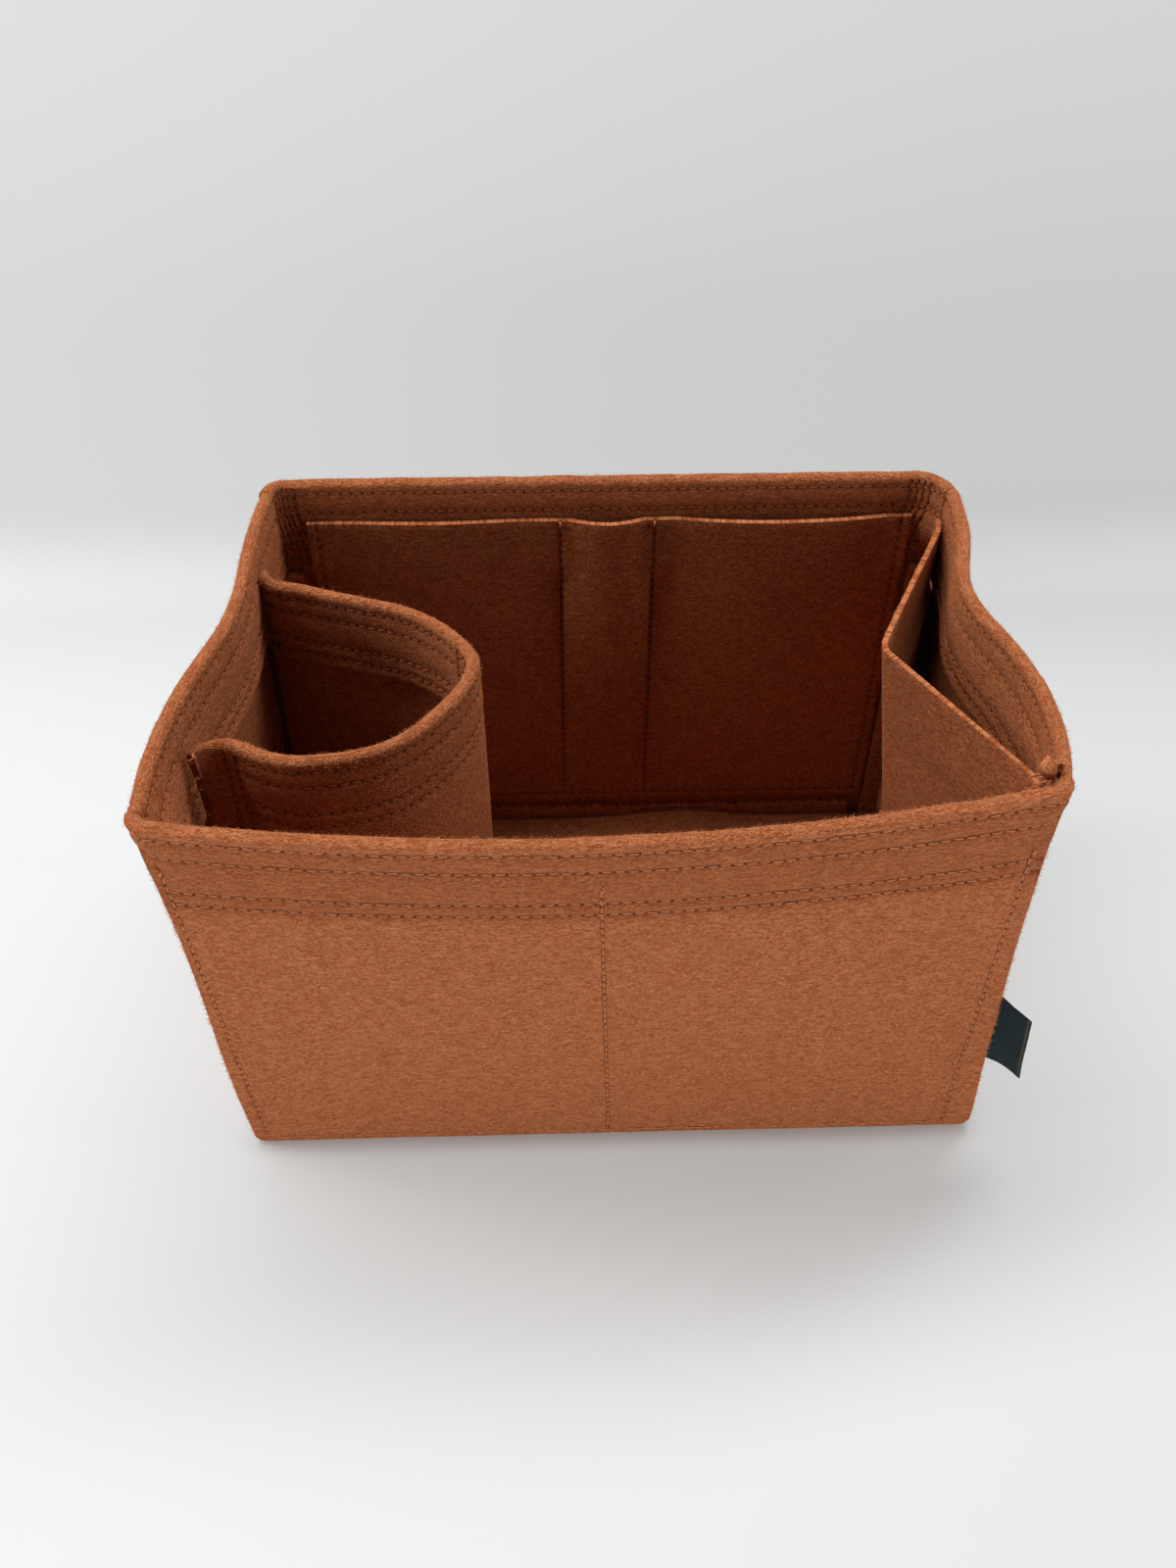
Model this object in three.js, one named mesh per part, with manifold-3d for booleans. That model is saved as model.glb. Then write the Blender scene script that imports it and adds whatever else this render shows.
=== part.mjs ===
// Purse organizer insert: an open felt box with sewn pockets, a bottle holder and a loose base.
// Millimetres. X runs along the front, Y from front to back, Z up from the table.
// The origin is the middle of the underside.
import * as THREE from 'three';
import Module from 'manifold-3d';
import { mergeVertices } from 'three/addons/utils/BufferGeometryUtils.js';

const { lerp, clamp, degToRad } = THREE.MathUtils;

// Body
const length = 285;
const depth = 181;
const height = 189;
const felt = 3;
const seamGap = 0.3;

// Where the rim corners stand outside the base: along X for the ends, along Y for the long walls
const leftEndOut = { front: 4, back: -4.5 };
const rightEndOut = { front: -4, back: 1.5 };
const frontOut = { left: 10.5, right: 0.5 };
const backOut = { left: 9.5, right: 9.5 };
const frontBow = 15;
const leftEndForm = { bulge: 4.5, crease: 5 };
const rightEndForm = { bulge: 6.5, crease: 8 };
const creasePlaceShare = 0.6;
const creaseSpread = 25;

// Rim: the top of each wall is turned in and sewn down with four rows
const facingDepth = 39;
const rimRows = [5, 13.5, 29.5, 35.5];
const foldRise = 3;
const grooveDepth = 0.5;
const grooveHalf = 1.2;
const hemEase = 9;

// Corners: the end panels turn in behind the long walls
const cornerRadius = 4;
const cornerFlange = 12;
const facingSetback = 5;
const facingEndStep = 0.4;
const frontFootRadius = { start: 2.5, end: 5 };
const backFootRadius = { start: 2.5, end: 2.5 };
const paredShare = 0.1;

// Base panel and the loose base insert on it
const baseFlange = 12;
const baseFold = 1.2;
const insertMargin = 1.5;
const insertLift = 5;
const insertLiftPlace = 40;
const insertLiftSpread = 28;
const insertLiftReach = 45;
const insertCorner = 10;

// Back pocket: three slots, its raw edges inside the corners
const backPocketMargin = { left: 21.5, right: 13 };
const backPocket = {
  left: -length / 2 + backPocketMargin.left, right: length / 2 - backPocketMargin.right, bottom: 18, top: 172.5,
};
const backDividers = [-16.5, 22.5];
const wideGape = 9.6;
const penGape = 9.4;
const gapeRoundness = 0.7;

// Front pocket: two slots, caught in the side and bottom seams
const frontPocket = { bottom: 0.5, top: 167, sideMargin: 1 };
const frontDivider = -4;
const flangeEase = 8;

// Bottle holder: a hemmed strip, sewn by both ends to the left end
const holderTop = 177;
const holderBottom = 15;
const holderReach = 92;
const holderSpan = 109;
const holderNear = -59;
const holderSeat = 1.5;
const holderFacing = 33;
const holderRows = [5, 11.5, 24, 30];
const holderFlange = 9;
const holderFacingShare = 0.12;
const holderFreeShare = 0.125;

// End pocket: one raw-edged panel with a vertical crease, sewn by both ends to the right end
const endPocketTop = 177;
const endPocketBottom = 15;
const endPocketFront = -73;
const endPocketBack = 75;
const endPocketCrease = -4;
const endPocketReach = { top: 31, bottom: 12 };
const endPocketFlange = { front: 5, back: 7 };
const endPocketBend = 5;

// Side label: a folded woven loop, bare
const labelHeight = 39;
const labelFoot = 44.5;
const labelReach = 13.5;
const labelPly = 0.5;
const labelSlit = 0.4;
const labelAngle = -40;

// How finely the sheets are divided
const frontSteps = 18;
const backSteps = 10;
const endSteps = 16;
const arcSteps = 4;
const crestSteps = 4;
const flangeSteps = 2;
const baseFlangeSteps = 12;
const insertSteps = 24;
const insertAcrossShares = [0, 0.25, 0.5, 0.75, 0.8, 0.85, 0.9, 0.95, 1];
const backBaySteps = [10, 8, 10];
const frontBaySteps = [14, 14];
const holderSteps = 32;
const endPocketSteps = 6;
const labelSteps = 6;
const bodySteps = 5;

const wasm = await Module();
wasm.setup();

const rimHemEdge = height - facingDepth;

// How much of its full lean a wall has at a height: the walls lean evenly from the base up
const leanShare = (z) => z / height;

// Outer face of the front wall: the Y of a point at x and z
function frontFace(x, z) {
  const across = x / length + 0.5;
  const lean = lerp(frontOut.left, frontOut.right, across);
  const bow = 4 * frontBow * across * (1 - across);
  return -depth / 2 - (lean + bow) * leanShare(z);
}

// Outer face of the back wall
function backFace(x, z) {
  const across = x / length + 0.5;
  return depth / 2 + lerp(backOut.left, backOut.right, across) * leanShare(z);
}

// Outer face of an end wall: side is -1 on the left and 1 on the right
function endFace(side, y, z) {
  const out = side < 0 ? leftEndOut : rightEndOut;
  const form = side < 0 ? leftEndForm : rightEndForm;
  const along = y / depth + 0.5;
  const bulge = form.bulge * Math.sin(2 * Math.PI * clamp(along, 0, 0.5)) ** 2;
  const fromCrease = (along - creasePlaceShare) * depth / creaseSpread;
  const crease = form.crease * Math.exp(-(fromCrease ** 2));
  const lean = lerp(out.front, out.back, along);
  return side * (length / 2 + (lean + bulge - crease) * leanShare(z));
}

// How far the turned-in rim layer pushes a piece off the wall at a height, as a share of the felt
function hemShare(z) {
  return clamp((z - rimHemEdge + hemEase) / (hemEase - seamGap), 0, 1);
}

// Distance from a wall's outer face to a layer sewn on its inner side
const wallStack = (z) => felt * (1 + hemShare(z)) + seamGap;

// A place so far inside a wall, measured square to it
const slopeProbe = 1;
function squareTo(face, place, z) {
  const slope = (face(place + slopeProbe, z) - face(place - slopeProbe, z)) / (2 * slopeProbe);
  return Math.hypot(1, slope);
}
const insideFront = (x, z, distance) => frontFace(x, z) + distance * squareTo(frontFace, x, z);
const insideBack = (x, z, distance) => backFace(x, z) - distance * squareTo(backFace, x, z);
function insideEnd(side, y, z, distance) {
  const face = (place, level) => endFace(side, place, level);
  return face(y, z) - side * distance * squareTo(face, y, z);
}

// Heights at which every sheet has points, so that neighbours bend alike
const hemLevels = [rimHemEdge - hemEase, rimHemEdge - seamGap];
const sharedLevels = [...steps(0, hemLevels[0], bodySteps), hemLevels[1]];
const levelsBetween = (bottom, top) => sharedLevels.filter((z) => z > bottom && z < top);

// Thickness of a flange whose turned-in layer is pared away
const paredFelt = felt * (1 + paredShare);

// Zips the two sides of a thin ring together, from its first point to the farthest along an axis
function capFaces(ring, axis) {
  const places = ring.map((point) => point[axis]);
  const top = places.indexOf(Math.max(...places));
  const faces = [];
  let up = 0;
  let down = ring.length - 1;
  while (up < top || down > top) {
    if (down === top || (up < top && places[up + 1] <= places[down - 1])) {
      faces.push([up, up + 1, down]);
      up += 1;
    } else {
      faces.push([down - 1, down, up]);
      down -= 1;
    }
  }
  return faces.filter((face) => new Set(face).size === face.length);
}

// Skins rings that each run up one side of a sheet and back down the other, and closes both ends
function loft(rings, axis = 'z') {
  const count = rings[0].length;
  const last = rings.length - 1;
  const triangles = [];
  for (let i = 0; i < last; i++) {
    for (let j = 0; j < count; j++) {
      const a = i * count + j;
      const b = i * count + (j + 1) % count;
      triangles.push(a, b, a + count, b, b + count, a + count);
    }
  }
  for (const [a, b, c] of capFaces(rings[0], axis)) {
    triangles.push(a, c, b);
  }
  for (const [a, b, c] of capFaces(rings[last], axis)) {
    triangles.push(last * count + a, last * count + b, last * count + c);
  }
  const geometry = new THREE.BufferGeometry();
  const positions = rings.flat().flatMap((point) => point.toArray());
  geometry.setAttribute('position', new THREE.Float32BufferAttribute(positions, 3));
  geometry.setIndex(triangles);
  return facingOut(geometry);
}

// Turns a closed mesh right side out
function facingOut(geometry) {
  const position = geometry.getAttribute('position');
  const index = geometry.getIndex().array;
  const [a, b, c] = [new THREE.Vector3(), new THREE.Vector3(), new THREE.Vector3()];
  let volume = 0;
  for (let i = 0; i < index.length; i += 3) {
    a.fromBufferAttribute(position, index[i]);
    b.fromBufferAttribute(position, index[i + 1]);
    c.fromBufferAttribute(position, index[i + 2]);
    volume += a.dot(b.cross(c));
  }
  if (volume < 0) {
    geometry.setIndex(Array.from(index).reverse());
  }
  return geometry;
}

// Carries a felt profile along a path. The path gives a point for a station and a height,
// and the felt lies on its left. A profile point is its distance from the path and its height.
function feltSheet(path, stations, profileAt) {
  const rings = stations.map((station, i) => {
    const before = stations[Math.max(i - 1, 0)];
    const after = stations[Math.min(i + 1, stations.length - 1)];
    return profileAt(station).map(({ x: inset, y: z }) => {
      const point = path(station, z);
      const run = path(after, z).sub(path(before, z)).normalize();
      return new THREE.Vector3(point.x - run.y * inset, point.y + run.x * inset, z);
    });
  });
  return loft(rings);
}

const at = (inset, z) => new THREE.Vector2(inset, z);

// Profile of a hemmed sheet: the face up to the rolled fold, and the turned-in layer behind it
function hemmedProfile({ bottom, top, facing, rows, levels, fold }) {
  const width = felt + fold;
  const hemEdge = top - facing;
  const face = levels.map((z) => at(0, z));
  for (const row of rows) {
    const z = top - row;
    face.push(at(0, z - grooveHalf), at(grooveDepth, z), at(0, z + grooveHalf));
  }
  face.sort((a, b) => a.y - b.y);
  const crest = [];
  for (let i = 0; i <= crestSteps; i++) {
    const turn = Math.PI * i / crestSteps;
    const across = (1 - Math.cos(turn)) / 2;
    crest.push(at(width * across, top - foldRise * (1 - Math.sin(turn))));
  }
  const lining = levels.filter((z) => z < hemEdge).map((z) => at(felt, z)).reverse();
  const turnedIn = levels.filter((z) => z > hemEdge).map((z) => at(width, z)).reverse();
  return [
    at(0, bottom), ...face, ...crest, ...turnedIn,
    at(width, hemEdge), at(felt, hemEdge), ...lining, at(felt, bottom),
  ];
}

// Profile of a raw-edged sheet with points at each level
function plainProfile(levels) {
  return [...levels.map((z) => at(0, z)), ...levels.map((z) => at(felt, z)).reverse()];
}

// Evenly spaced shares from one value to another
function steps(from, to, count) {
  return Array.from({ length: count + 1 }, (_, i) => lerp(from, to, i / count));
}

// How far a rounded lower corner rises from the table, at a distance from the raw edge
function footLift(fromEdge, radius) {
  const past = Math.max(radius - fromEdge, 0);
  return radius - Math.sqrt(radius ** 2 - past ** 2);
}

// Front and back panels: raw upright edges flush with the end walls
function longPanel(isFront) {
  const face = isFront ? frontFace : backFace;
  const stationSteps = isFront ? frontSteps : backSteps;
  const travel = isFront ? 1 : -1;
  const path = (share, z) => {
    const edgeY = travel * -depth / 2;
    const start = endFace(-travel, edgeY, z);
    const end = endFace(travel, edgeY, z);
    const x = lerp(start, end, share);
    return new THREE.Vector2(x, face(x, z));
  };
  const footRadius = isFront ? frontFootRadius : backFootRadius;
  const profileAt = (share) => hemmedProfile({
    bottom: footLift(share * length, footRadius.start) + footLift((1 - share) * length, footRadius.end),
    top: height, facing: facingDepth, rows: rimRows, levels: levelsBetween(0, height), fold: felt,
  });
  const stations = steps(0, Math.PI, stationSteps).map((turn) => (1 - Math.cos(turn)) / 2);
  return feltSheet(path, stations, profileAt);
}

// End panels: a creased wall whose upright edges turn in behind the long walls
function endPanel(side) {
  const atCorner = (isFrontCorner, out, round, z) => {
    const inside = isFrontCorner ? insideFront : insideBack;
    const inward = isFrontCorner ? 1 : -1;
    const turn = round * Math.PI / 2;
    const rise = cornerRadius * (1 - Math.cos(turn));
    const cornerX = endFace(side, -inward * depth / 2, z);
    const outerX = endFace(side, inside(cornerX, z, wallStack(z) + rise), z);
    const x = outerX - side * (out + cornerRadius * (1 - Math.sin(turn)));
    return new THREE.Vector2(x, inside(x, z, wallStack(z) + rise));
  };
  const flangeRun = cornerFlange - cornerRadius;
  const stations = [];
  for (const out of steps(flangeRun, 0, flangeSteps).slice(0, -1)) {
    stations.push({ corner: 'front', out, round: 0 });
  }
  for (const round of steps(0, 1, arcSteps)) {
    stations.push({ corner: 'front', out: 0, round });
  }
  for (const [distance, fold] of [[facingSetback - facingEndStep, 0], [facingSetback, 1]]) {
    stations.push({ fromFront: distance, fold });
  }
  for (const share of steps(0, 1, endSteps).slice(1, -1)) {
    stations.push({ share, fold: 1 });
  }
  for (const [distance, fold] of [[facingSetback, 1], [facingSetback - facingEndStep, 0]]) {
    stations.push({ fromBack: distance, fold });
  }
  for (const round of steps(1, 0, arcSteps)) {
    stations.push({ corner: 'back', out: 0, round });
  }
  for (const out of steps(0, flangeRun, flangeSteps).slice(1)) {
    stations.push({ corner: 'back', out, round: 0 });
  }
  if (side < 0) {
    stations.reverse();
  }
  const path = (station, z) => {
    if (station.corner) {
      return atCorner(station.corner === 'front', station.out, station.round, z);
    }
    const start = atCorner(true, 0, 1, z).y;
    const end = atCorner(false, 0, 1, z).y;
    let y = lerp(start, end, station.share ?? 0);
    if (station.fromFront) y = start + station.fromFront;
    if (station.fromBack) y = end - station.fromBack;
    return new THREE.Vector2(endFace(side, y, z), y);
  };
  return feltSheet(path, stations, (station) => hemmedProfile({
    bottom: 0, top: height, facing: facingDepth, rows: rimRows,
    levels: levelsBetween(0, height), fold: felt * (station.fold ? 1 : paredShare),
  }));
}

// Turns a closed geometry into a solid for joining and cutting
function solid(geometry) {
  const bare = geometry.clone();
  bare.deleteAttribute('normal');
  bare.deleteAttribute('uv');
  const merged = mergeVertices(bare);
  return new wasm.Manifold(new wasm.Mesh({
    numProp: 3,
    vertProperties: new Float32Array(merged.getAttribute('position').array),
    triVerts: new Uint32Array(merged.getIndex().array),
  }));
}

function geometryOf(manifold) {
  const mesh = manifold.getMesh();
  const geometry = new THREE.BufferGeometry();
  geometry.setAttribute('position', new THREE.Float32BufferAttribute(mesh.vertProperties, 3));
  geometry.setIndex(Array.from(mesh.triVerts));
  return geometry;
}

// Base panel: a floor with its corners notched out and a flange turned up along each wall.
// The front flange stands inside the front pocket panel, which the same seam catches.
const frontStack = 2 * (felt + seamGap);
const flangeHalfLength = length / 2 - cornerFlange - 2 * flangeEase - felt;
const endFlangeHalf = depth / 2 - felt - frontStack - cornerRadius;

function basePanel() {
  const edge = length / 2 - felt - seamGap;
  const frontEdge = -depth / 2 + frontStack;
  const backEdge = depth / 2 - felt - seamGap;
  const notch = backEdge - felt - seamGap;
  const outline = new THREE.Shape([
    at(-flangeHalfLength, frontEdge + baseFold), at(flangeHalfLength, frontEdge + baseFold),
    at(flangeHalfLength, -endFlangeHalf), at(edge - baseFold, -endFlangeHalf),
    at(edge - baseFold, endFlangeHalf), at(edge - cornerFlange, endFlangeHalf),
    at(edge - cornerFlange, notch), at(flangeHalfLength, notch),
    at(flangeHalfLength, backEdge - baseFold), at(-flangeHalfLength, backEdge - baseFold),
    at(-flangeHalfLength, notch), at(cornerFlange - edge, notch),
    at(cornerFlange - edge, endFlangeHalf), at(baseFold - edge, endFlangeHalf),
    at(baseFold - edge, -endFlangeHalf), at(-flangeHalfLength, -endFlangeHalf),
  ]);
  const floor = new THREE.ExtrudeGeometry(outline, { depth: felt, bevelEnabled: false });
  const profile = [
    at(baseFold, 0), at(0, baseFold), at(0, baseFlange), at(felt, baseFlange), at(felt, 0),
  ];
  const runX = steps(-flangeHalfLength, flangeHalfLength, baseFlangeSteps);
  const runY = steps(-endFlangeHalf, endFlangeHalf, baseFlangeSteps);
  const flanges = [
    [runX, (x, z) => at(x, insideFront(x, z, frontStack))],
    [runX.slice().reverse(), (x, z) => at(x, insideBack(x, z, felt + seamGap))],
    [runY, (y, z) => at(insideEnd(1, y, z, felt + seamGap), y)],
    [runY.slice().reverse(), (y, z) => at(insideEnd(-1, y, z, felt + seamGap), y)],
  ];
  let panel = solid(floor);
  for (const [run, path] of flanges) {
    panel = panel.add(solid(feltSheet(path, run, () => profile)));
  }
  return geometryOf(panel);
}

// Base insert: a loose felt sheet whose back edge has taken a wave
function baseInsert() {
  const halfLength = length / 2 - 2 * felt - seamGap - insertMargin;
  const front = -depth / 2 + frontStack + felt + insertMargin;
  const back = depth / 2 - 2 * felt - seamGap - insertMargin;
  const columns = steps(-halfLength, halfLength, insertSteps);
  const seat = felt + seamGap;
  const cut = (x) => {
    const pastCorner = Math.max(Math.abs(x) - halfLength + insertCorner, 0);
    return insertCorner - Math.sqrt(insertCorner ** 2 - pastCorner ** 2);
  };
  const wave = (x, y) => {
    const across = (x - insertLiftPlace) / insertLiftSpread;
    const nearBack = clamp(1 - (back - y) / insertLiftReach, 0, 1);
    return insertLift * Math.exp(-(across ** 2)) * nearBack ** 2;
  };
  const rings = columns.map((x) => {
    const start = front + cut(x);
    const end = back - cut(x);
    const under = insertAcrossShares.map((share) => {
      const y = lerp(start, end, share);
      return new THREE.Vector3(x, y, seat + wave(x, y));
    });
    const over = under.map((point) => point.clone().setZ(point.z + felt)).reverse();
    return [...under, ...over];
  });
  return loft(rings, 'y');
}

// How far a pocket bay stands off between two stitched lines, at a place and a height
function bayGape(x, z, lines, gapes, bottom, top) {
  for (let i = 0; i < gapes.length; i++) {
    if (x > lines[i] && x < lines[i + 1]) {
      const across = Math.sin(Math.PI * (x - lines[i]) / (lines[i + 1] - lines[i]));
      const up = Math.sin(Math.PI / 2 * clamp((z - bottom) / (top - bottom), 0, 1));
      return gapes[i] * across ** gapeRoundness * up;
    }
  }
  return 0;
}

// Stations along a pocket panel, with one on each stitched line
function bayStations(lines, perBay) {
  const runs = lines.slice(1).map((end, i) => steps(lines[i], end, perBay[i]).slice(1));
  return [lines[0], ...runs.flat()];
}

function backPocketPanel() {
  const { left, right, bottom, top } = backPocket;
  const lines = [left, ...backDividers, right];
  const gapes = [wideGape, penGape, wideGape];
  const levels = [bottom, ...levelsBetween(bottom, top), top];
  const path = (x, z) => {
    const gape = bayGape(x, z, lines, gapes, bottom, top);
    const off = felt + seamGap + Math.max(felt * hemShare(z), gape);
    return at(x, insideBack(x, z, off));
  };
  const stations = bayStations(lines, backBaySteps).reverse();
  return feltSheet(path, stations, () => plainProfile(levels));
}

function frontPocketPanel() {
  const { bottom, top, sideMargin } = frontPocket;
  const inset = felt + sideMargin;
  const half = length / 2 - inset;
  const lines = [-half, frontDivider, half];
  const seamTop = baseFlange + seamGap;
  const levels = [bottom, seamTop, ...levelsBetween(seamTop, top), top];
  const path = (x, z) => {
    const side = Math.sign(x);
    const edge = Math.abs(endFace(side, -depth / 2, z)) - inset;
    const place = x / half * edge;
    const overFlange = clamp((Math.abs(x) - half + cornerFlange + flangeEase) / flangeEase, 0, 1);
    const gape = bayGape(x, z, lines, [wideGape, wideGape], seamTop, top);
    const pushed = felt * hemShare(z) + (paredFelt + seamGap) * overFlange;
    return at(place, insideFront(place, z, felt + seamGap + Math.max(pushed, gape)));
  };
  return feltSheet(path, bayStations(lines, frontBaySteps), () => plainProfile(levels));
}

// Bottle holder seen from above, from its near raw end round to its far one: how far it stands
// out as a share of the reach, and how far along as a share of the span
const holderOutlineShares = [
  [0, 0.045], [0.1, 0.07], [0.25, 0.01], [0.43, -0.01], [0.7, 0.055], [0.9, 0.24],
  [1, 0.46], [0.92, 0.62], [0.72, 0.775], [0.39, 0.885], [0.1, 0.975], [0, 1.03],
];

function bottleHolder() {
  const seatX = -length / 2 + felt + holderSeat;
  const shares = holderOutlineShares.map(([out, along]) => new THREE.Vector3(out, along, 0));
  const curve = new THREE.CatmullRomCurve3(shares);
  const near = shares[0];
  const far = shares.at(-1);
  const strip = steps(0, 1, holderSteps).map((share) => curve.getPoint(share));
  for (const share of steps(1, 0, flangeSteps).slice(1)) {
    strip.unshift(near.clone().multiplyScalar(share));
  }
  for (const run of steps(0, holderFlange / holderSpan, flangeSteps).slice(1)) {
    strip.push(far.clone().setY(far.y + run));
  }
  const path = (place, z) => {
    const out = Math.max(place.x, 0);
    const y = holderNear + place.y * holderSpan;
    const wallX = insideEnd(-1, y, z, wallStack(z) + paredFelt);
    const free = clamp(out / holderFreeShare, 0, 1);
    return at(lerp(wallX, seatX, free) + out * holderReach, y);
  };
  return feltSheet(path, strip, (place) => hemmedProfile({
    bottom: holderBottom, top: holderTop, facing: holderFacing, rows: holderRows,
    levels: levelsBetween(holderBottom, holderTop),
    fold: felt * (place.x > holderFacingShare ? 1 : paredShare),
  }));
}

// End pocket: out along the crease at the top, closer to the end wall at the bottom
function endPocketPanel() {
  const levels = [endPocketBottom, ...levelsBetween(endPocketBottom, endPocketTop), endPocketTop];
  const reachAt = (z) => {
    const share = (z - endPocketBottom) / (endPocketTop - endPocketBottom);
    return lerp(endPocketReach.bottom, endPocketReach.top, share);
  };
  const outline = new THREE.CurvePath();
  const corner = (from, by, to) => new THREE.QuadraticBezierCurve(from, by, to);
  const backHeel = at(0, endPocketBack);
  const frontHeel = at(0, endPocketFront);
  const tip = at(1, endPocketCrease);
  const shareOf = endPocketBend / (endPocketBack - endPocketCrease);
  const bend = [
    backHeel.clone().lerp(tip, shareOf), tip.clone().lerp(backHeel, shareOf),
    tip.clone().lerp(frontHeel, shareOf), frontHeel.clone().lerp(tip, shareOf),
  ];
  const backFlat = at(0, endPocketBack + endPocketBend);
  const frontFlat = at(0, endPocketFront - endPocketBend / 2);
  outline.add(corner(backFlat, backHeel, bend[0]));
  outline.add(new THREE.LineCurve(bend[0], bend[1]));
  outline.add(corner(bend[1], tip, bend[2]));
  outline.add(new THREE.LineCurve(bend[2], bend[3]));
  outline.add(corner(bend[3], frontHeel, frontFlat));
  const stations = outline.curves.flatMap((curve) => curve.getPoints(endPocketSteps).slice(1));
  stations.unshift(backFlat);
  stations.unshift(at(0, endPocketBack + endPocketFlange.back));
  stations.push(at(0, endPocketFront - endPocketFlange.front));
  const path = (place, z) => {
    const wallAt = (y) => insideEnd(1, y, z, wallStack(z) + felt);
    const isBack = place.y > endPocketCrease;
    const heel = isBack ? Math.max(place.y, endPocketBack) : Math.min(place.y, endPocketFront);
    const wallX = lerp(wallAt(heel), wallAt(endPocketCrease), place.x);
    return at(wallX - place.x * reachAt(z), place.y);
  };
  return feltSheet(path, stations, () => plainProfile(levels));
}

// Side label: two plies joined by the fold at the outer edge, standing out from the front seam
function sideLabel() {
  const half = labelPly + labelSlit / 2;
  const outline = new THREE.Shape();
  outline.moveTo(0, -half);
  outline.lineTo(labelReach - half, -half);
  outline.absarc(labelReach - half, 0, half, -Math.PI / 2, Math.PI / 2, false);
  outline.lineTo(0, half);
  outline.lineTo(0, labelSlit / 2);
  outline.lineTo(labelReach - half, labelSlit / 2);
  outline.lineTo(labelReach - half, -labelSlit / 2);
  outline.lineTo(0, -labelSlit / 2);
  return new THREE.ExtrudeGeometry(outline, {
    depth: labelHeight, bevelEnabled: false, curveSegments: labelSteps,
  });
}

const feltFinish = (color) => new THREE.MeshStandardMaterial({ color, roughness: 0.95, metalness: 0 });

const organizer = new THREE.Group();
organizer.name = 'purse_organizer_insert';

function addPiece(name, geometry, material) {
  const mesh = new THREE.Mesh(geometry, material);
  mesh.name = name;
  organizer.add(mesh);
  return mesh;
}

addPiece('front_panel', longPanel(true), feltFinish('#a3613c'));
addPiece('back_panel', longPanel(false), feltFinish('#a3613c'));
addPiece('left_end_panel', endPanel(-1), feltFinish('#9d5c39'));
addPiece('right_end_panel', endPanel(1), feltFinish('#9d5c39'));
addPiece('base_panel', basePanel(), feltFinish('#965737'));
addPiece('base_insert', baseInsert(), feltFinish('#9a5a38'));
addPiece('back_pocket_panel', backPocketPanel(), feltFinish('#a05f3b'));
addPiece('front_pocket_panel', frontPocketPanel(), feltFinish('#a05f3b'));
addPiece('bottle_holder', bottleHolder(), feltFinish('#a3623d'));
addPiece('end_pocket_panel', endPocketPanel(), feltFinish('#a3623d'));

// The label stands along the leaning front seam, turned forward about it
const labelSeat = labelPly + labelSlit / 2 + seamGap;
const seamPoint = (z) => {
  const edge = endFace(1, -depth / 2, z);
  return new THREE.Vector3(edge + labelSeat, frontFace(edge, z) + felt, z);
};
const label = addPiece('side_label', sideLabel(), new THREE.MeshStandardMaterial({
  color: '#16272b', roughness: 0.7, metalness: 0,
}));
const seamRun = seamPoint(labelFoot + labelHeight).sub(seamPoint(labelFoot)).normalize();
label.position.copy(seamPoint(labelFoot));
label.quaternion.setFromUnitVectors(new THREE.Vector3(0, 0, 1), seamRun);
label.rotateZ(degToRad(labelAngle));

export default organizer;
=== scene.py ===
"""Looks of the felt purse organizer insert: its sheets, seams, threads and label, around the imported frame.

Places are worked out in millimetres in the part's frame, X along the front, Y to the back and Z up,
and become metres where a vertex is written.
"""

import bisect
import math
import random

import bmesh
import bpy
from mathutils import Matrix, Vector, noise


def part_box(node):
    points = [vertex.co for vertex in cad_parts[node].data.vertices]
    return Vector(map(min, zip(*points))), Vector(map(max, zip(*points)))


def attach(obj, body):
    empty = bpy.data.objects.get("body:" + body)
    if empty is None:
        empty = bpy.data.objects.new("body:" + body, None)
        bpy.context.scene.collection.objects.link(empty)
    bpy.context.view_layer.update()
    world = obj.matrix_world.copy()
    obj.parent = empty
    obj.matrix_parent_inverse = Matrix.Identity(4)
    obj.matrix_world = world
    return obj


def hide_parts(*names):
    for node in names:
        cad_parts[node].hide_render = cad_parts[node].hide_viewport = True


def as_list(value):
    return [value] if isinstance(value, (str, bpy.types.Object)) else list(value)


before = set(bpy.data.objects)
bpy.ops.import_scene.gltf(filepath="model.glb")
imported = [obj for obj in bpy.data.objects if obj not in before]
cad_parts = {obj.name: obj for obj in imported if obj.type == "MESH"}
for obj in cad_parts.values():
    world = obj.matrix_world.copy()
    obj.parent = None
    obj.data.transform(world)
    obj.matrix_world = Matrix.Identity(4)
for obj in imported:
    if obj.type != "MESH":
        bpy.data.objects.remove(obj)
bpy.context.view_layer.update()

MM = 0.001


def heights(name):
    """Lowest and highest Z of a frame node, in millimetres."""
    return [(corner / MM).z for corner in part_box(name)]


# Body sizes
LENGTH = 285
DEPTH = 181
HEIGHT = heights("front_panel")[1]
FELT = 3
SEAM_GAP = 0.3
LEFT_OUT = {"front": 5.7, "back": -5.5}
RIGHT_OUT = {"front": -5.3, "back": 2.4}
FRONT_OUT = {"left": 10.5, "right": 0.5}
BACK_OUT = 9.5
FRONT_BOW = 15
END_BULGE = {-1: 3, 1: 6}
BULGE_FULLNESS = 1.2
BULGE_SKEW = 0.75
WAIST = {-1: 4, 1: 2.6}
WAIST_SPREAD = 26
WAIST_RISE = (30, 140)
WAIST_STOP = (164, 183)
FOOT_FLARE = {-1: 0, 1: 3.4}
FOOT_FLARE_LOW, FOOT_FLARE_TOP = 10, 60
FRONT_EDGE_BACK = 1.8
FRONT_EDGE_LOW = 20
END_CREASE = {-1: 4.8, 1: 8}
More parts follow.
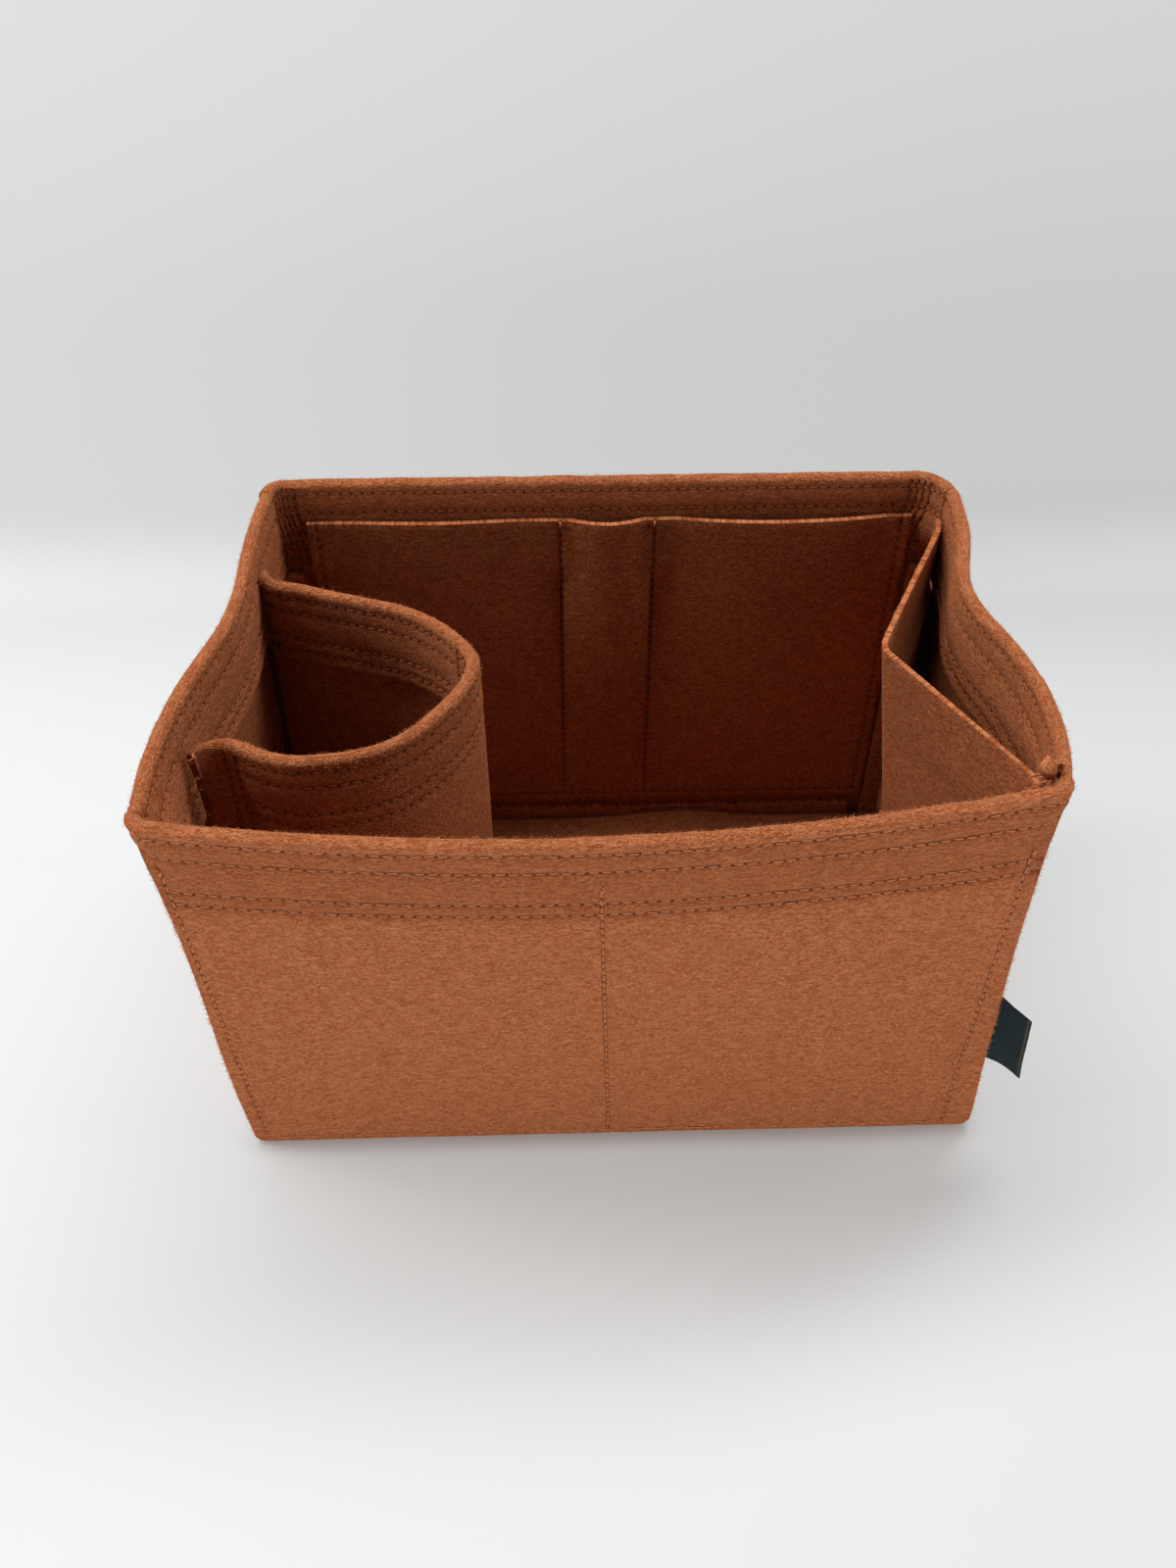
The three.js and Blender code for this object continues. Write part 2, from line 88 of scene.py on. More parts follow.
CREASE_PLACE = {-1: 0.57, 1: 0.6}
CREASE_SPREAD = {-1: 36, 1: 28}

RAW_FELT = 2.8
PRESSED_FELT = 2.55

# Darker felt: on the hem and below the fold, and painted shade at raw ends that lie in the dark
HEM_TONE_RISE = 2.5
HEM_TONE_STOP = (6, 3)
BELOW_FOLD = (2, 5)
RAW_END_REACH = 3.5
RAW_END_PAINTED_SHADE = 2.8

# Turned-in rims, pressed flat by their rows
FACING = 39
RIM_ROWS = (5, 13.5, 29.5, 35.5)
RIM_ROW_DEEP = 1.2
FOOT_ROW = 3.2
FOLD = PRESSED_FELT + 0.1
HEM_EASE = 9

# Corners and base
CORNER = 4
CORNER_FLANGE = 12
FLANGE_RUN = CORNER_FLANGE - CORNER
CORNER_GAP = 0.25
BASE_FLANGE = 12
BASE_FOLD = 1.2

# Seams and threads
STITCH = 4
STITCH_GAP = 0.45
STITCH_SWAY = 0.12
STITCH_UNEVEN = 0.14
THREAD = 0.29
LOOP_RISE = (0.5, 1)
LOOP_SWAY = 0.5
LOOP_DIVE = 0.4
GROOVE = 0.55
GROOVE_HALF = 1.3
SEAM_LINES = (-2.4, -1.3, -0.6, 0, 0.6, 1.3, 2.4)
PILLOW = 3

# Loose fibres: their thickness and the length of one of their three parts
FIBRE = 0.055
FIBRE_REACH = (0.2, 0.55)

# Felt, as it lies
RIPPLE = 0.22
RIPPLE_SPREAD = 26
DIMPLE = 0.09
DIMPLE_SPREAD = 5
CREST_WAVE = 0.5
CREST_WAVE_SPREAD = 13
CREST_WAVE_REACH = 12
GRID_STEP = 3.6
LINE_CLEAR = 0.9
LINE_LEAST = 0.25
EDGE_ROUND = 0.6
EDGE_ANGLE = math.radians(55)


def lerp(a, b, share):
    return a + (b - a) * share


def clamp(value, low=0.0, high=1.0):
    return max(low, min(high, value))


def smooth(value, low, high):
    share = clamp((value - low) / (high - low))
    return share * share * (3 - 2 * share)


def steps(start, end, step):
    count = max(1, round(abs(end - start) / step))
    return [lerp(start, end, i / count) for i in range(count + 1)]


def placed(name, data):
    """A new object in the scene."""
    made = bpy.data.objects.new(name, data)
    bpy.context.scene.collection.objects.link(made)
    return made


def mesh_of(name, bm):
    mesh = bpy.data.meshes.new(name)
    bm.to_mesh(mesh)
    bm.free()
    return mesh


# Camera at the photograph's viewing angle
CAMERA_PLACE = Vector((-17.82, -366.0, 455.94)) * MM
CAMERA_PITCH = math.radians(43.524)
CAMERA_YAW = math.radians(1.614)
CAMERA_ROLL = math.radians(0.0586)
CAMERA_LENS = 29.25

camera_data = bpy.data.cameras.new("camera")
camera_data.lens = CAMERA_LENS
camera_data.sensor_width = 36
camera = placed("camera", camera_data)
forward = Vector((
    math.sin(CAMERA_YAW) * math.cos(CAMERA_PITCH),
    math.cos(CAMERA_YAW) * math.cos(CAMERA_PITCH),
    -math.sin(CAMERA_PITCH),
))
level = Vector((math.cos(CAMERA_YAW), -math.sin(CAMERA_YAW), 0))
above = level.cross(forward)
right = level * math.cos(CAMERA_ROLL) + above * math.sin(CAMERA_ROLL)
top = right.cross(forward)
turned_to = Matrix((right, top, -forward)).transposed().to_4x4()
camera.matrix_world = Matrix.Translation(CAMERA_PLACE) @ turned_to
bpy.context.scene.camera = camera


# Walls: the same leaning faces as the frame's
def front_face(x, z):
    across = x / LENGTH + 0.5
    lean = lerp(FRONT_OUT["left"], FRONT_OUT["right"], across)
    bow = 4 * FRONT_BOW * across * (1 - across)
    return -DEPTH / 2 - (lean + bow) * z / HEIGHT


def back_face(x, z):
    return DEPTH / 2 + BACK_OUT * z / HEIGHT


def waist(side, y, z):
    """How far the front corners are drawn in between the base and the thick rim."""
    from_front = (y + DEPTH / 2) / WAIST_SPREAD
    drawn = WAIST[side] * math.exp(-(from_front**2))
    return drawn * smooth(z, *WAIST_RISE) * (1 - smooth(z, *WAIST_STOP))


def end_face(side, y, z):
    out = LEFT_OUT if side < 0 else RIGHT_OUT
    along = y / DEPTH + 0.5
    bulge = END_BULGE[side] * math.sin(math.pi * clamp(2 * along) ** BULGE_SKEW) ** BULGE_FULLNESS
    from_crease = (along - CREASE_PLACE[side]) * DEPTH / CREASE_SPREAD[side]
    crease = END_CREASE[side] * math.exp(-(from_crease**2))
    lean = lerp(out["front"], out["back"], along)
    flare = FOOT_FLARE[side] * (1 - smooth(along, 0, 0.5)) * (1 - smooth(z, FOOT_FLARE_LOW, FOOT_FLARE_TOP))
    return side * (LENGTH / 2 + (lean + bulge - crease) * z / HEIGHT - waist(side, y, z) + flare)


def square_to(face, place, z):
    """How much longer a step straight along an axis is than the same step square to a slanting wall."""
    return math.hypot(1, (face(place + 1, z) - face(place - 1, z)) / 2)


def inside_front(x, z, distance):
    return front_face(x, z) + distance * square_to(front_face, x, z)


def inside_back(x, z, distance):
    return back_face(x, z) - distance


def inside_end(side, y, z, distance):
    slope = square_to(lambda place, level: end_face(side, place, level), y, z)
    return end_face(side, y, z) - side * distance * slope


# Each long wall: its way inward along Y, its face, and a place behind that face
LONG_WALLS = {"front": (1, front_face, inside_front), "back": (-1, back_face, inside_back)}
HEM_EDGE = HEIGHT - FACING


def hem_share(z):
    """How far the turned-in rim layer has pushed a piece off the wall, as a share of the felt."""
    return clamp((z - HEM_EDGE + HEM_EASE) / (HEM_EASE - SEAM_GAP))


def wall_stack(z):
    return FELT * (1 + hem_share(z)) + SEAM_GAP


def fold_over(t, top):
    """Height, and distance behind the face, of a place so far up a cut whose top is turned in."""
    straight = top - FOLD
    if t <= straight:
        return t, 0
    turned = (t - straight) / FOLD
    if turned <= math.pi:
        return straight + FOLD * math.sin(turned), FOLD * (1 - math.cos(turned))
    return straight - FOLD * (turned - math.pi), 2 * FOLD


def turned_in(row, top):
    """Place up the cut of a row on the turned-in layer, so far below the rim."""
    return top + (math.pi - 2) * FOLD + row


def along_path(path, s, z, inset, ends=(-math.inf, math.inf)):
    """A point of a sheet in plan: on its path, then so far to the left of the way that the path runs."""
    point = path(s, z)
    run = (path(clamp(s + 0.5, *ends), z) - path(clamp(s - 0.5, *ends), z)).normalized()
    return Vector((point.x - run.y * inset, point.y + run.x * inset, z))


class Seam:
    """A straight row of stitches on a cut: across it (fixed up, running along) or up it."""

    def __init__(self, at, start, end, up=False, deep=1, wide=GROOVE_HALF):
        self.at = at
        self.start = start
        self.end = end
        self.up = up
        self.deep = deep
        self.wide = wide

    def place(self, run):
        return (self.at, run) if self.up else (run, self.at)

    def near(self, s, t):
        """Closeness of a place to the row's thread, from 0 to 1, its way along the row, and its depth."""
        off, run = (s - self.at, t) if self.up else (t - self.at, s)
        if not self.start - 1 <= run <= self.end + 1:
            return 0, run - self.start, 0
        close = clamp(1 - abs(off) / GROOVE_HALF) * min(self.deep, 1)
        return close, run - self.start, GROOVE * self.deep * clamp(1 - abs(off) / self.wide) ** 1.5


def grid_lines(start, end, seams_at, step=GRID_STEP, extra=()):
    """Even lines from start to end, with close ones beside each seam."""
    close = sorted({at + off for at in seams_at for off in SEAM_LINES} | set(extra))
    close = [at for at in close if start < at < end]
    lines = [start, end, *close]
    for at in steps(start, end, step)[1:-1]:
        i = bisect.bisect(close, at)
        beside = close[max(i - 1, 0) : i + 1]
        if all(abs(at - other) > LINE_CLEAR for other in beside):
            lines.append(at)
    merged = []
    for at in sorted(lines):
        if not merged or at - merged[-1] > LINE_LEAST or at == end:
            merged.append(at)
    return merged


def ripple_of(seed):
    """The unevenness of one sheet: broad ripples and small dimples, out from its face."""
    shift = Vector((seed * 31.7, seed * 17.3, seed * 7.1))

    def ripple(point):
        broad = noise.noise(point / RIPPLE_SPREAD + shift)
        small = noise.noise(point / DIMPLE_SPREAD + shift)
        return RIPPLE * broad + DIMPLE * small

    return ripple


def cut_grid(bm, columns, rises, place):
    """A grid laid by place(s, t). Gives each vertex's own place on the cut."""
    bmesh.ops.create_grid(bm, x_segments=len(columns) - 1, y_segments=len(rises) - 1, size=1)
    cut = {}
    for vertex in bm.verts:
        i = round((vertex.co.x + 1) / 2 * (len(columns) - 1))
        j = round((vertex.co.y + 1) / 2 * (len(rises) - 1))
        cut[vertex] = (columns[i], rises[j])
        vertex.co = place(columns[i], rises[j])
    return cut


def drop_outside(bm, cut, keep):
    """Cuts away the faces whose middle isn't in the cut's outline."""
    outside = []
    for face in bm.faces:
        corners = [cut[vertex] for vertex in face.verts]
        middle = [sum(values) / len(corners) for values in zip(*corners)]
        if not keep(*middle):
            outside.append(face)
    bmesh.ops.delete(bm, geom=outside, context="FACES")


def darker_tone(s, t, hem_tone, dark_ends):
    in_hem = smooth(t, HEM_EDGE, HEM_EDGE + HEM_TONE_RISE)
    in_hem *= 1 - smooth(t, *[HEIGHT - below for below in HEM_TONE_STOP])
    below_fold = smooth(t, *[turned_in(below, HEIGHT) for below in BELOW_FOLD])
    # Painted shade: near the raw ends listed, the felt darkens as though they lie in the dark
    raw_end = max((1 - smooth(abs(s - end), 0, RAW_END_REACH) for end in dark_ends), default=0)
    return max(max(in_hem, below_fold) * hem_tone, raw_end * RAW_END_PAINTED_SHADE)


def give_thickness(sheet, thickness, edge):
    """The felt's body behind its face, as thick as the vertex group says, with softened edges."""
    sheet.vertex_groups.new(name="body")
    solid = sheet.modifiers.new("thickness", "SOLIDIFY")
    solid.thickness = thickness * MM
    solid.offset = -1
    solid.vertex_group = "body"
    rounded = sheet.modifiers.new("edges", "BEVEL")
    rounded.width = edge * MM
    rounded.segments = 2
    rounded.limit_method = "ANGLE"
    rounded.angle_limit = EDGE_ANGLE


def felt_sheet(
    name, across, up, place, seams=(), keep=None, seed=1, turned=False, thickness=RAW_FELT, step=GRID_STEP,
    extra_across=(), extra_up=(), edge=EDGE_ROUND, pressed_from=None, top=None, hem_tone=0.0,
    pinch=None, dark_ends=(),
):
    """A sheet of felt cut to a grid, laid by place(s, t), pinched at its seams and given its thickness."""
    columns = grid_lines(*across, [seam.at for seam in seams if seam.up], step, extra_across)
    rises = grid_lines(*up, [seam.at for seam in seams if not seam.up], step, extra_up)
    bm = bmesh.new()
    cut_map = bm.loops.layers.uv.new("cut")
    closeness, along, tone_and_painted_shade = (bm.verts.layers.float.new(layer) for layer in ("seam", "along", "tone_and_painted_shade"))
    body = bm.verts.layers.deform.verify()
    cut = cut_grid(bm, columns, rises, place)
    if keep is not None:
        drop_outside(bm, cut, keep)
    if turned:
        bmesh.ops.reverse_faces(bm, faces=bm.faces[:])
    bm.normal_update()
    ripple = ripple_of(seed)
    for vertex in bm.verts:
        s, t = cut[vertex]
        beside = [seam.near(s, t) for seam in seams] or [(0, 0, 0)]
        vertex[closeness], vertex[along], _ = max(beside)
        groove = max(near[2] for near in beside)
        # This darker tone, with the raw ends' painted shade, goes into the finish's colour
        vertex[tone_and_painted_shade] = darker_tone(s, t, hem_tone, dark_ends)
        press = 0 if pressed_from is None else smooth(t, pressed_from - HEM_EASE, pressed_from)
        vertex[body][0] = (lerp(thickness, PRESSED_FELT, press) - groove) / thickness
        if pinch is not None:
            vertex[body][0] *= pinch(s)
        vertex.co += vertex.normal * (ripple(vertex.co) - groove)
        if top is not None:
            wave = noise.noise(Vector((s / CREST_WAVE_SPREAD, seed, 0)))
            vertex.co.z += CREST_WAVE * wave * smooth(vertex.co.z, top - CREST_WAVE_REACH, top)
    for face in bm.faces:
        face.smooth = True
        for loop in face.loops:
            loop[cut_map].uv = Vector(cut[loop.vert]) * MM
    bmesh.ops.scale(bm, vec=(MM, MM, MM), verts=bm.verts[:])
    sheet = placed(name, mesh_of(name, bm))
    give_thickness(sheet, thickness, edge)
    return sheet


def flat_cut(across, up):
    return (abs(across[1] - across[0]) * MM, abs(up[1] - up[0]) * MM)


def dress(piece, material, slot, body="shell"):
    piece.data.materials.clear()
    piece.data.materials.append(material)
    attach(piece, body)


# Threads
def surface_at(place, s, t):
    """A point of a sheet's face, with the ways along s, along t and out of the face."""
    point = place(s, t)
    along_s = (place(s + 0.5, t) - place(s - 0.5, t)).normalized()
    along_t = (place(s, t + 0.5) - place(s, t - 0.5)).normalized()
    return point, along_s, along_t, along_s.cross(along_t).normalized()


def stitch_of(place, seam, start, end, dice):
    """Points along one stitch: its ends dive into the felt and its middle lies in the groove."""
    middle, _, _, out = surface_at(place, *seam.place((start + end) / 2))
    first, last = place(*seam.place(start)), place(*seam.place(end))
    beside = out.cross(last - first).normalized() * dice.uniform(-STITCH_SWAY, STITCH_SWAY)
    sunk = GROOVE * seam.deep - THREAD * 0.7 + dice.uniform(-STITCH_UNEVEN, STITCH_UNEVEN)
    dive = out * THREAD * 0.9
    crown = middle - out * sunk
    return [
        first - out * sunk - dive - beside,
        first.lerp(crown, 0.35) - out * sunk * 0.65 - beside,
        last.lerp(crown, 0.35) - out * sunk * 0.65 + beside,
        last - out * sunk - dive + beside,
    ]


def thread_piece(name, strands, material, slot="wall_felt", width=THREAD, roundness=1):
    """Short threads, each a list of points, as one piece."""
    threads = bpy.data.curves.new(name, "CURVE")
    threads.dimensions = "3D"
    threads.bevel_depth = width * MM
    threads.bevel_resolution = roundness
    threads.use_fill_caps = True
    for points in strands:
        spline = threads.splines.new("POLY")
        spline.points.add(len(points) - 1)
        for place, point in zip(points, spline.points):
            point.co = (*(place * MM), 1)
        spline.points[0].radius = 0.5
        spline.points[-1].radius = 0.5
    curve = placed(name, threads)
    mesh = bpy.data.meshes.new_from_object(curve.evaluated_get(bpy.context.evaluated_depsgraph_get()))
    bpy.data.objects.remove(curve)
    dress(placed(name, mesh), material, slot)


def stitch_rows(place, seams, seed):
    """The threads of rows of stitches on a sheet's face."""
    dice = random.Random(seed)
    strands = []
    for seam in seams:
        for i in range(int((seam.end - seam.start) / STITCH)):
            start = seam.start + i * STITCH + STITCH_GAP
            strands.append(stitch_of(place, seam, start, start + STITCH - 2 * STITCH_GAP, dice))
    return strands


def loops_of(place, spots, seed):
    """Loose loops of thread on a sheet's face, each from one place on its cut to another so far away."""
    dice = random.Random(seed)
    strands = []
    for s, t, run_s, run_t in spots:
        start, _, _, out = surface_at(place, s, t)
        end = place(s + run_s, t + run_t)
        strands.append(loop_between(start, end, out, dice))
    return strands


def loop_between(start, end, out, dice):
    """Points of a thread that dives in at both ends and arches between them."""
    rise = dice.uniform(*LOOP_RISE)
    beside = out.cross(end - start).normalized() * dice.uniform(-LOOP_SWAY, LOOP_SWAY)
    return [
        start - out * LOOP_DIVE,
        start.lerp(end, 0.15) + out * rise * 0.7 + beside * 0.6,
        start.lerp(end, 0.5) + out * rise + beside,
        start.lerp(end, 0.85) + out * rise * 0.7 + beside * 0.6,
        end - out * LOOP_DIVE,
    ]


def fuzz_of(place, zones, seed):
    """Loose fibres of a sheet. A zone is a stretch of its cut, a number of fibres, how far they stand up,
    and how far they lean along the cut and up it."""
    dice = random.Random(seed)
    strands = []
    for across, up, count, stand, lean_s, lean_t in zones:
        for _ in range(count):
            point, along_s, along_t, out = surface_at(place, dice.uniform(*across), dice.uniform(*up))
            way = out * stand * dice.uniform(0.4, 1)
            way += along_s * (lean_s + dice.gauss(0, 0.6)) + along_t * (lean_t + dice.gauss(0, 0.35))
            way.normalize()
            bend = (along_s * dice.gauss(0, 1) + along_t * dice.gauss(0, 1) - out * 0.3) * 0.8
            reach = dice.uniform(*FIBRE_REACH)
            points = [point - out * 0.1]
            for turn in (0, 0.5, 1):
                points.append(points[-1] + (way + bend * turn).normalized() * reach)
            strands.append(points)
    return strands


# Front wall
# Its upright rows are places on the cut. A mark gives the X of each at the foot and the rim, or names an edge.
FRONT_CUT = (0, LENGTH)
LEFT_ROW, DIVIDER_ROW, RIGHT_ROW = 4, 138, 276
FRONT_MARKS = {
    0: ("edge", -1),
    LEFT_ROW: (-137.2, -140.6),
    DIVIDER_ROW: (-1.6, -6.6),
    RIGHT_ROW: (132.5, 130.2),
    LENGTH: ("edge", 1),
}
MARK_HEIGHT = 170


def mark_x(mark, z):
    low, high = mark
    if low == "edge":
        tuck = FRONT_EDGE_BACK * (1 - smooth(z, FRONT_EDGE_LOW, FOOT_FLARE_TOP)) if high > 0 else 0
        return end_face(high, -DEPTH / 2, z) - tuck
    return lerp(low, high, z / MARK_HEIGHT)


FRONT_PLACES = sorted(FRONT_MARKS)

# Rim corners: how much of a long wall's cut bends round each one, and between which heights it starts to
RIM_CORNERS = {
    ("front", -1): (10.5, 166, 184),
    ("front", 1): (9.5, 166, 184),
    ("back", -1): (17, 148, 178),
    ("back", 1): (25, 148, 178),
}


def corner_turn(wall, side, z):
    run, low, high = RIM_CORNERS[wall, side]
    turn = max(smooth(z, low, high) * math.pi / 2, 0.001)
    return turn, run / turn


def corner_depth(wall, side, z):
    """How far in from the long wall's face its raw edge lies, once bent round the corner."""
    turn, radius = corner_turn(wall, side, z)
    return radius * (1 - math.cos(turn))


def round_corners(wall, x, z):
    """Plan of a place on a long wall that would lie at x if the wall ran on flat to its raw edges."""
    inward, face, _ = LONG_WALLS[wall]
    side = 1 if x > 0 else -1
    turn, radius = corner_turn(wall, side, z)
    run = radius * turn
    edge_y = -inward * (DEPTH / 2 - corner_depth(wall, side, z))
    flat_start = abs(end_face(side, -inward * DEPTH / 2, z)) - run
    bend_start = abs(end_face(side, edge_y, z)) - radius * math.sin(turn)
    past = abs(x) - flat_start
    if past <= 0:
        moved = abs(x) + (bend_start - flat_start) * (abs(x) / flat_start) ** 4
        return Vector((side * moved, face(side * moved, z)))
    angle = past / radius
    moved = side * (bend_start + radius * math.sin(angle))
    return Vector((moved, face(moved, z) + inward * radius * (1 - math.cos(angle))))


def front_path(s, z):
    i = clamp(bisect.bisect(FRONT_PLACES, s) - 1, 0, len(FRONT_PLACES) - 2)
    left, right = FRONT_PLACES[i], FRONT_PLACES[i + 1]
    x = lerp(mark_x(FRONT_MARKS[left], z), mark_x(FRONT_MARKS[right], z), (s - left) / (right - left))
    return round_corners("front", x, z)


FRONT_FOOT = {"left": 2.5, "right": 4}
FRONT_FOOT_LINES = {"left": (1.2, 2.4, 6, 8, 10), "right": (1.2, 2.4, 4, 6)}


def front_place(s, t):
    z, inset = fold_over(t, HEIGHT)
    point = along_path(front_path, s, z, inset)
    for from_edge, radius in ((s, FRONT_FOOT["left"]), (LENGTH - s, FRONT_FOOT["right"])):
        if from_edge < radius and z < radius:
            lift = radius - math.sqrt(max(radius**2 - (radius - from_edge) ** 2, 0))
            point.z = lerp(lift, radius, z / radius)
    return point


def back_path(s, z):
    x = lerp(end_face(1, DEPTH / 2, z), end_face(-1, DEPTH / 2, z), s / LENGTH)
    return round_corners("back", x, z)


def back_place(s, t):
    z, inset = fold_over(t, HEIGHT)
    return along_path(back_path, s, z, inset)


RIM_CUT = (0, turned_in(FACING, HEIGHT))


def crest_lines(top):
    """Close lines up a cut where it rolls over the rim."""
    return [top - FOLD + FOLD * math.pi * i / 10 for i in range(11)]


CREST = crest_lines(HEIGHT)


def rim_seams(start, end, top=HEIGHT, rows=RIM_ROWS, start_low=None):
    """Rows round a turned-in rim, outside and inside. The lower two can start farther in."""
    seams = []
    for i, row in enumerate(rows):
        first = start if start_low is None or i < 2 else start_low
        seams.append(Seam(top - row, first, end, deep=RIM_ROW_DEEP, wide=PILLOW))
        seams.append(Seam(turned_in(row, top), start, end, deep=RIM_ROW_DEEP, wide=PILLOW))
    return seams


FRONT_SEAMS = [
    *rim_seams(2, LENGTH - 2, start_low=LEFT_ROW),
    Seam(LEFT_ROW, 7, 169, up=True),
    Seam(RIGHT_ROW, 5, 164, up=True),
    Seam(DIVIDER_ROW, 6, 167, up=True),
    Seam(FOOT_ROW, 5, RIGHT_ROW, deep=0.45),
]

# Upright rows in the turned-in layer of the back corners, from the raw edges
BACK_CORNER_ROWS = {"left": (5, 8.4, 11.8, 15.2, 18.6), "right": (13, 17, 21, 25)}
CORNER_ROWS_TOP = turned_in(3, HEIGHT)
BACK_MARGIN = 4
BACK_POCKET_LOW, BACK_POCKET_HIGH = heights("back_pocket_panel")
BACK_POCKET_ENDS = (-121, 129.5)
BACK_DIVIDERS = (-16.5, 22.5)


def back_s(x):
    """Place along the back wall's cut of an X: the cut runs from right to left."""
    return LENGTH / 2 - x


BACK_SEAMS = [
    *rim_seams(2, LENGTH - 2),
    Seam(BACK_MARGIN, 5, 167, up=True),
    Seam(LENGTH - BACK_MARGIN, 5, 167, up=True),
    Seam(FOOT_ROW, 5, LENGTH - 5),
    *[Seam(back_s(x), BACK_POCKET_LOW + 3, 168, up=True) for x in BACK_DIVIDERS],
    *[
        Seam(at, CORNER_ROWS_TOP, RIM_CUT[1] - 2, up=True, deep=1.9)
        for at in (*BACK_CORNER_ROWS["right"], *[LENGTH - row for row in BACK_CORNER_ROWS["left"]])
    ],
]


# End walls
END_WALL = DEPTH - 2 * (FELT + SEAM_GAP + CORNER)
CORNER_ARC = CORNER * math.pi / 2
END_CUT = 2 * (FLANGE_RUN + CORNER_ARC) + END_WALL


def corner_point(side, wall, out, turn, z):
    """Plan of a place so far out on an end wall's flange, or so far round its corner's turn."""
    inward, _, inside = LONG_WALLS[wall]
    rise = CORNER * (1 - math.cos(turn))
    corner_x = end_face(side, -inward * DEPTH / 2, z)
    outer_x = end_face(side, inside(corner_x, z, wall_stack(z) + rise), z)
    x = outer_x - side * (out + CORNER * (1 - math.sin(turn)))
    return Vector((x, inside(x, z, wall_stack(z) + rise)))


# The right turned-in layer ends short of the front corner, lifted as a small ear
CREST_CUT = HEIGHT - FOLD + FOLD * math.pi / 2
EAR_START = FLANGE_RUN + CORNER_ARC + 4.5
EAR_RISE = 0.8
EAR_RUN = 9
EAR_PLACE = Vector((132.6, -81.4, 188.6))
EAR_SIZE = Vector((2.7, 3, 3.6))
EAR_LUMP = 0.7
EAR_LUMP_SPREAD = 2.2
EAR_FRAY = 0.2
EAR_FRAY_SPREAD = 0.7
EAR_LOOPS = (100, 135, 160, 185, 205)

# Height at which the end wall's flange stops behind each long wall, and how softly the wall's edge shifts
FLANGE_TOP = {"front": 168, "back": 148}
FLANGE_SHIFT = 8


def wall_edge(side, wall, z):
    """Y at which an end wall starts beside the flange, or above it beside the long wall's bent edge."""
    low = corner_point(side, wall, 0, math.pi / 2, z).y
    inward, face, _ = LONG_WALLS[wall]
    beside = max(corner_depth(wall, side, z), FELT) + CORNER_GAP
    high = face(end_face(side, -inward * DEPTH / 2, z), z) + inward * beside
    return lerp(low, high, smooth(z, FLANGE_TOP[wall] - FLANGE_SHIFT, FLANGE_TOP[wall]))


END_FACING = (FLANGE_RUN + CORNER_ARC, END_CUT - FLANGE_RUN - CORNER_ARC)


def end_path(side, s, z):
    s = s if side > 0 else END_CUT - s
    wall = "front" if s < END_CUT / 2 else "back"
    from_end = min(s, END_CUT - s)
    if from_end < FLANGE_RUN:
        return corner_point(side, wall, FLANGE_RUN - from_end, 0, z)
    if s < END_FACING[0] or s > END_FACING[1]:
        return corner_point(side, wall, 0, (from_end - FLANGE_RUN) / CORNER, z)
    y = lerp(wall_edge(side, "front", z), wall_edge(side, "back", z), (s - END_FACING[0]) / END_WALL)
    return Vector((end_face(side, y, z), y))


def end_place(side):
    def place(s, t):
        z, inset = fold_over(t, HEIGHT)
        front_end = END_FACING[0] if z > FLANGE_TOP["front"] - FLANGE_SHIFT / 2 else 0
        back_end = END_FACING[1] if z > FLANGE_TOP["back"] - FLANGE_SHIFT / 2 else END_CUT
        ends = (front_end, back_end) if side > 0 else (END_CUT - back_end, END_CUT - front_end)
        point = along_path(lambda run, level: end_path(side, run, level), s, z, inset, ends)
        if side > 0 and t > CREST_CUT:
            near_ear = 1 - smooth(s, EAR_START, EAR_START + EAR_RUN)
            point.z += EAR_RISE * near_ear * smooth(point.z, HEM_EDGE, HEIGHT)
        return point

    return place


def end_keep(side):
    """The flanges stop below the rim, where the long walls bend round the corners."""
    def keep(s, t):
        s = s if side > 0 else END_CUT - s
        if s < END_FACING[0]:
            return t < FLANGE_TOP["front"]
        if s > END_FACING[1]:
            return t < FLANGE_TOP["back"]
        return side < 0 or s > EAR_START or t < CREST_CUT

    return keep


END_SEAMS = [
    *[Seam(HEIGHT - row, *END_FACING) for row in RIM_ROWS],
    *[Seam(turned_in(row, HEIGHT), *END_FACING, deep=1.5, wide=PILLOW) for row in RIM_ROWS],
]
END_CORNERS = [
    *[FLANGE_RUN + CORNER_ARC * i / 5 for i in range(6)],
    *[END_CUT - FLANGE_RUN - CORNER_ARC * i / 5 for i in range(6)],
    *END_FACING,
    EAR_START,
]


# Pockets
GAPE_ROUNDNESS = 0.7
FRONT_GAPE = 9.6
BACK_GAPES = (4.5, 7, 7)


def bay_gape(x, z, lines, gapes, bottom, top):
    """How far a pocket stands off between its stitched lines."""
    for left, right, gape in zip(lines, lines[1:], gapes):
        if left < x < right:
            across = math.sin(math.pi * (x - left) / (right - left))
            up = math.sin(math.pi / 2 * clamp((z - bottom) / (top - bottom)))
            return gape * across**GAPE_ROUNDNESS * up
    return 0


BACK_POCKET_LINES = (BACK_POCKET_ENDS[0], *BACK_DIVIDERS, BACK_POCKET_ENDS[1])
BACK_POCKET_CUT = BACK_POCKET_ENDS


def back_pocket_place(x, t):
    """Visible face of the back pocket."""
    gape = bay_gape(x, t, BACK_POCKET_LINES, BACK_GAPES, BACK_POCKET_LOW, BACK_POCKET_HIGH)
    off = FELT + SEAM_GAP + max(FELT * hem_share(t), gape)
    return Vector((x, inside_back(x, t, off + RAW_FELT), t))


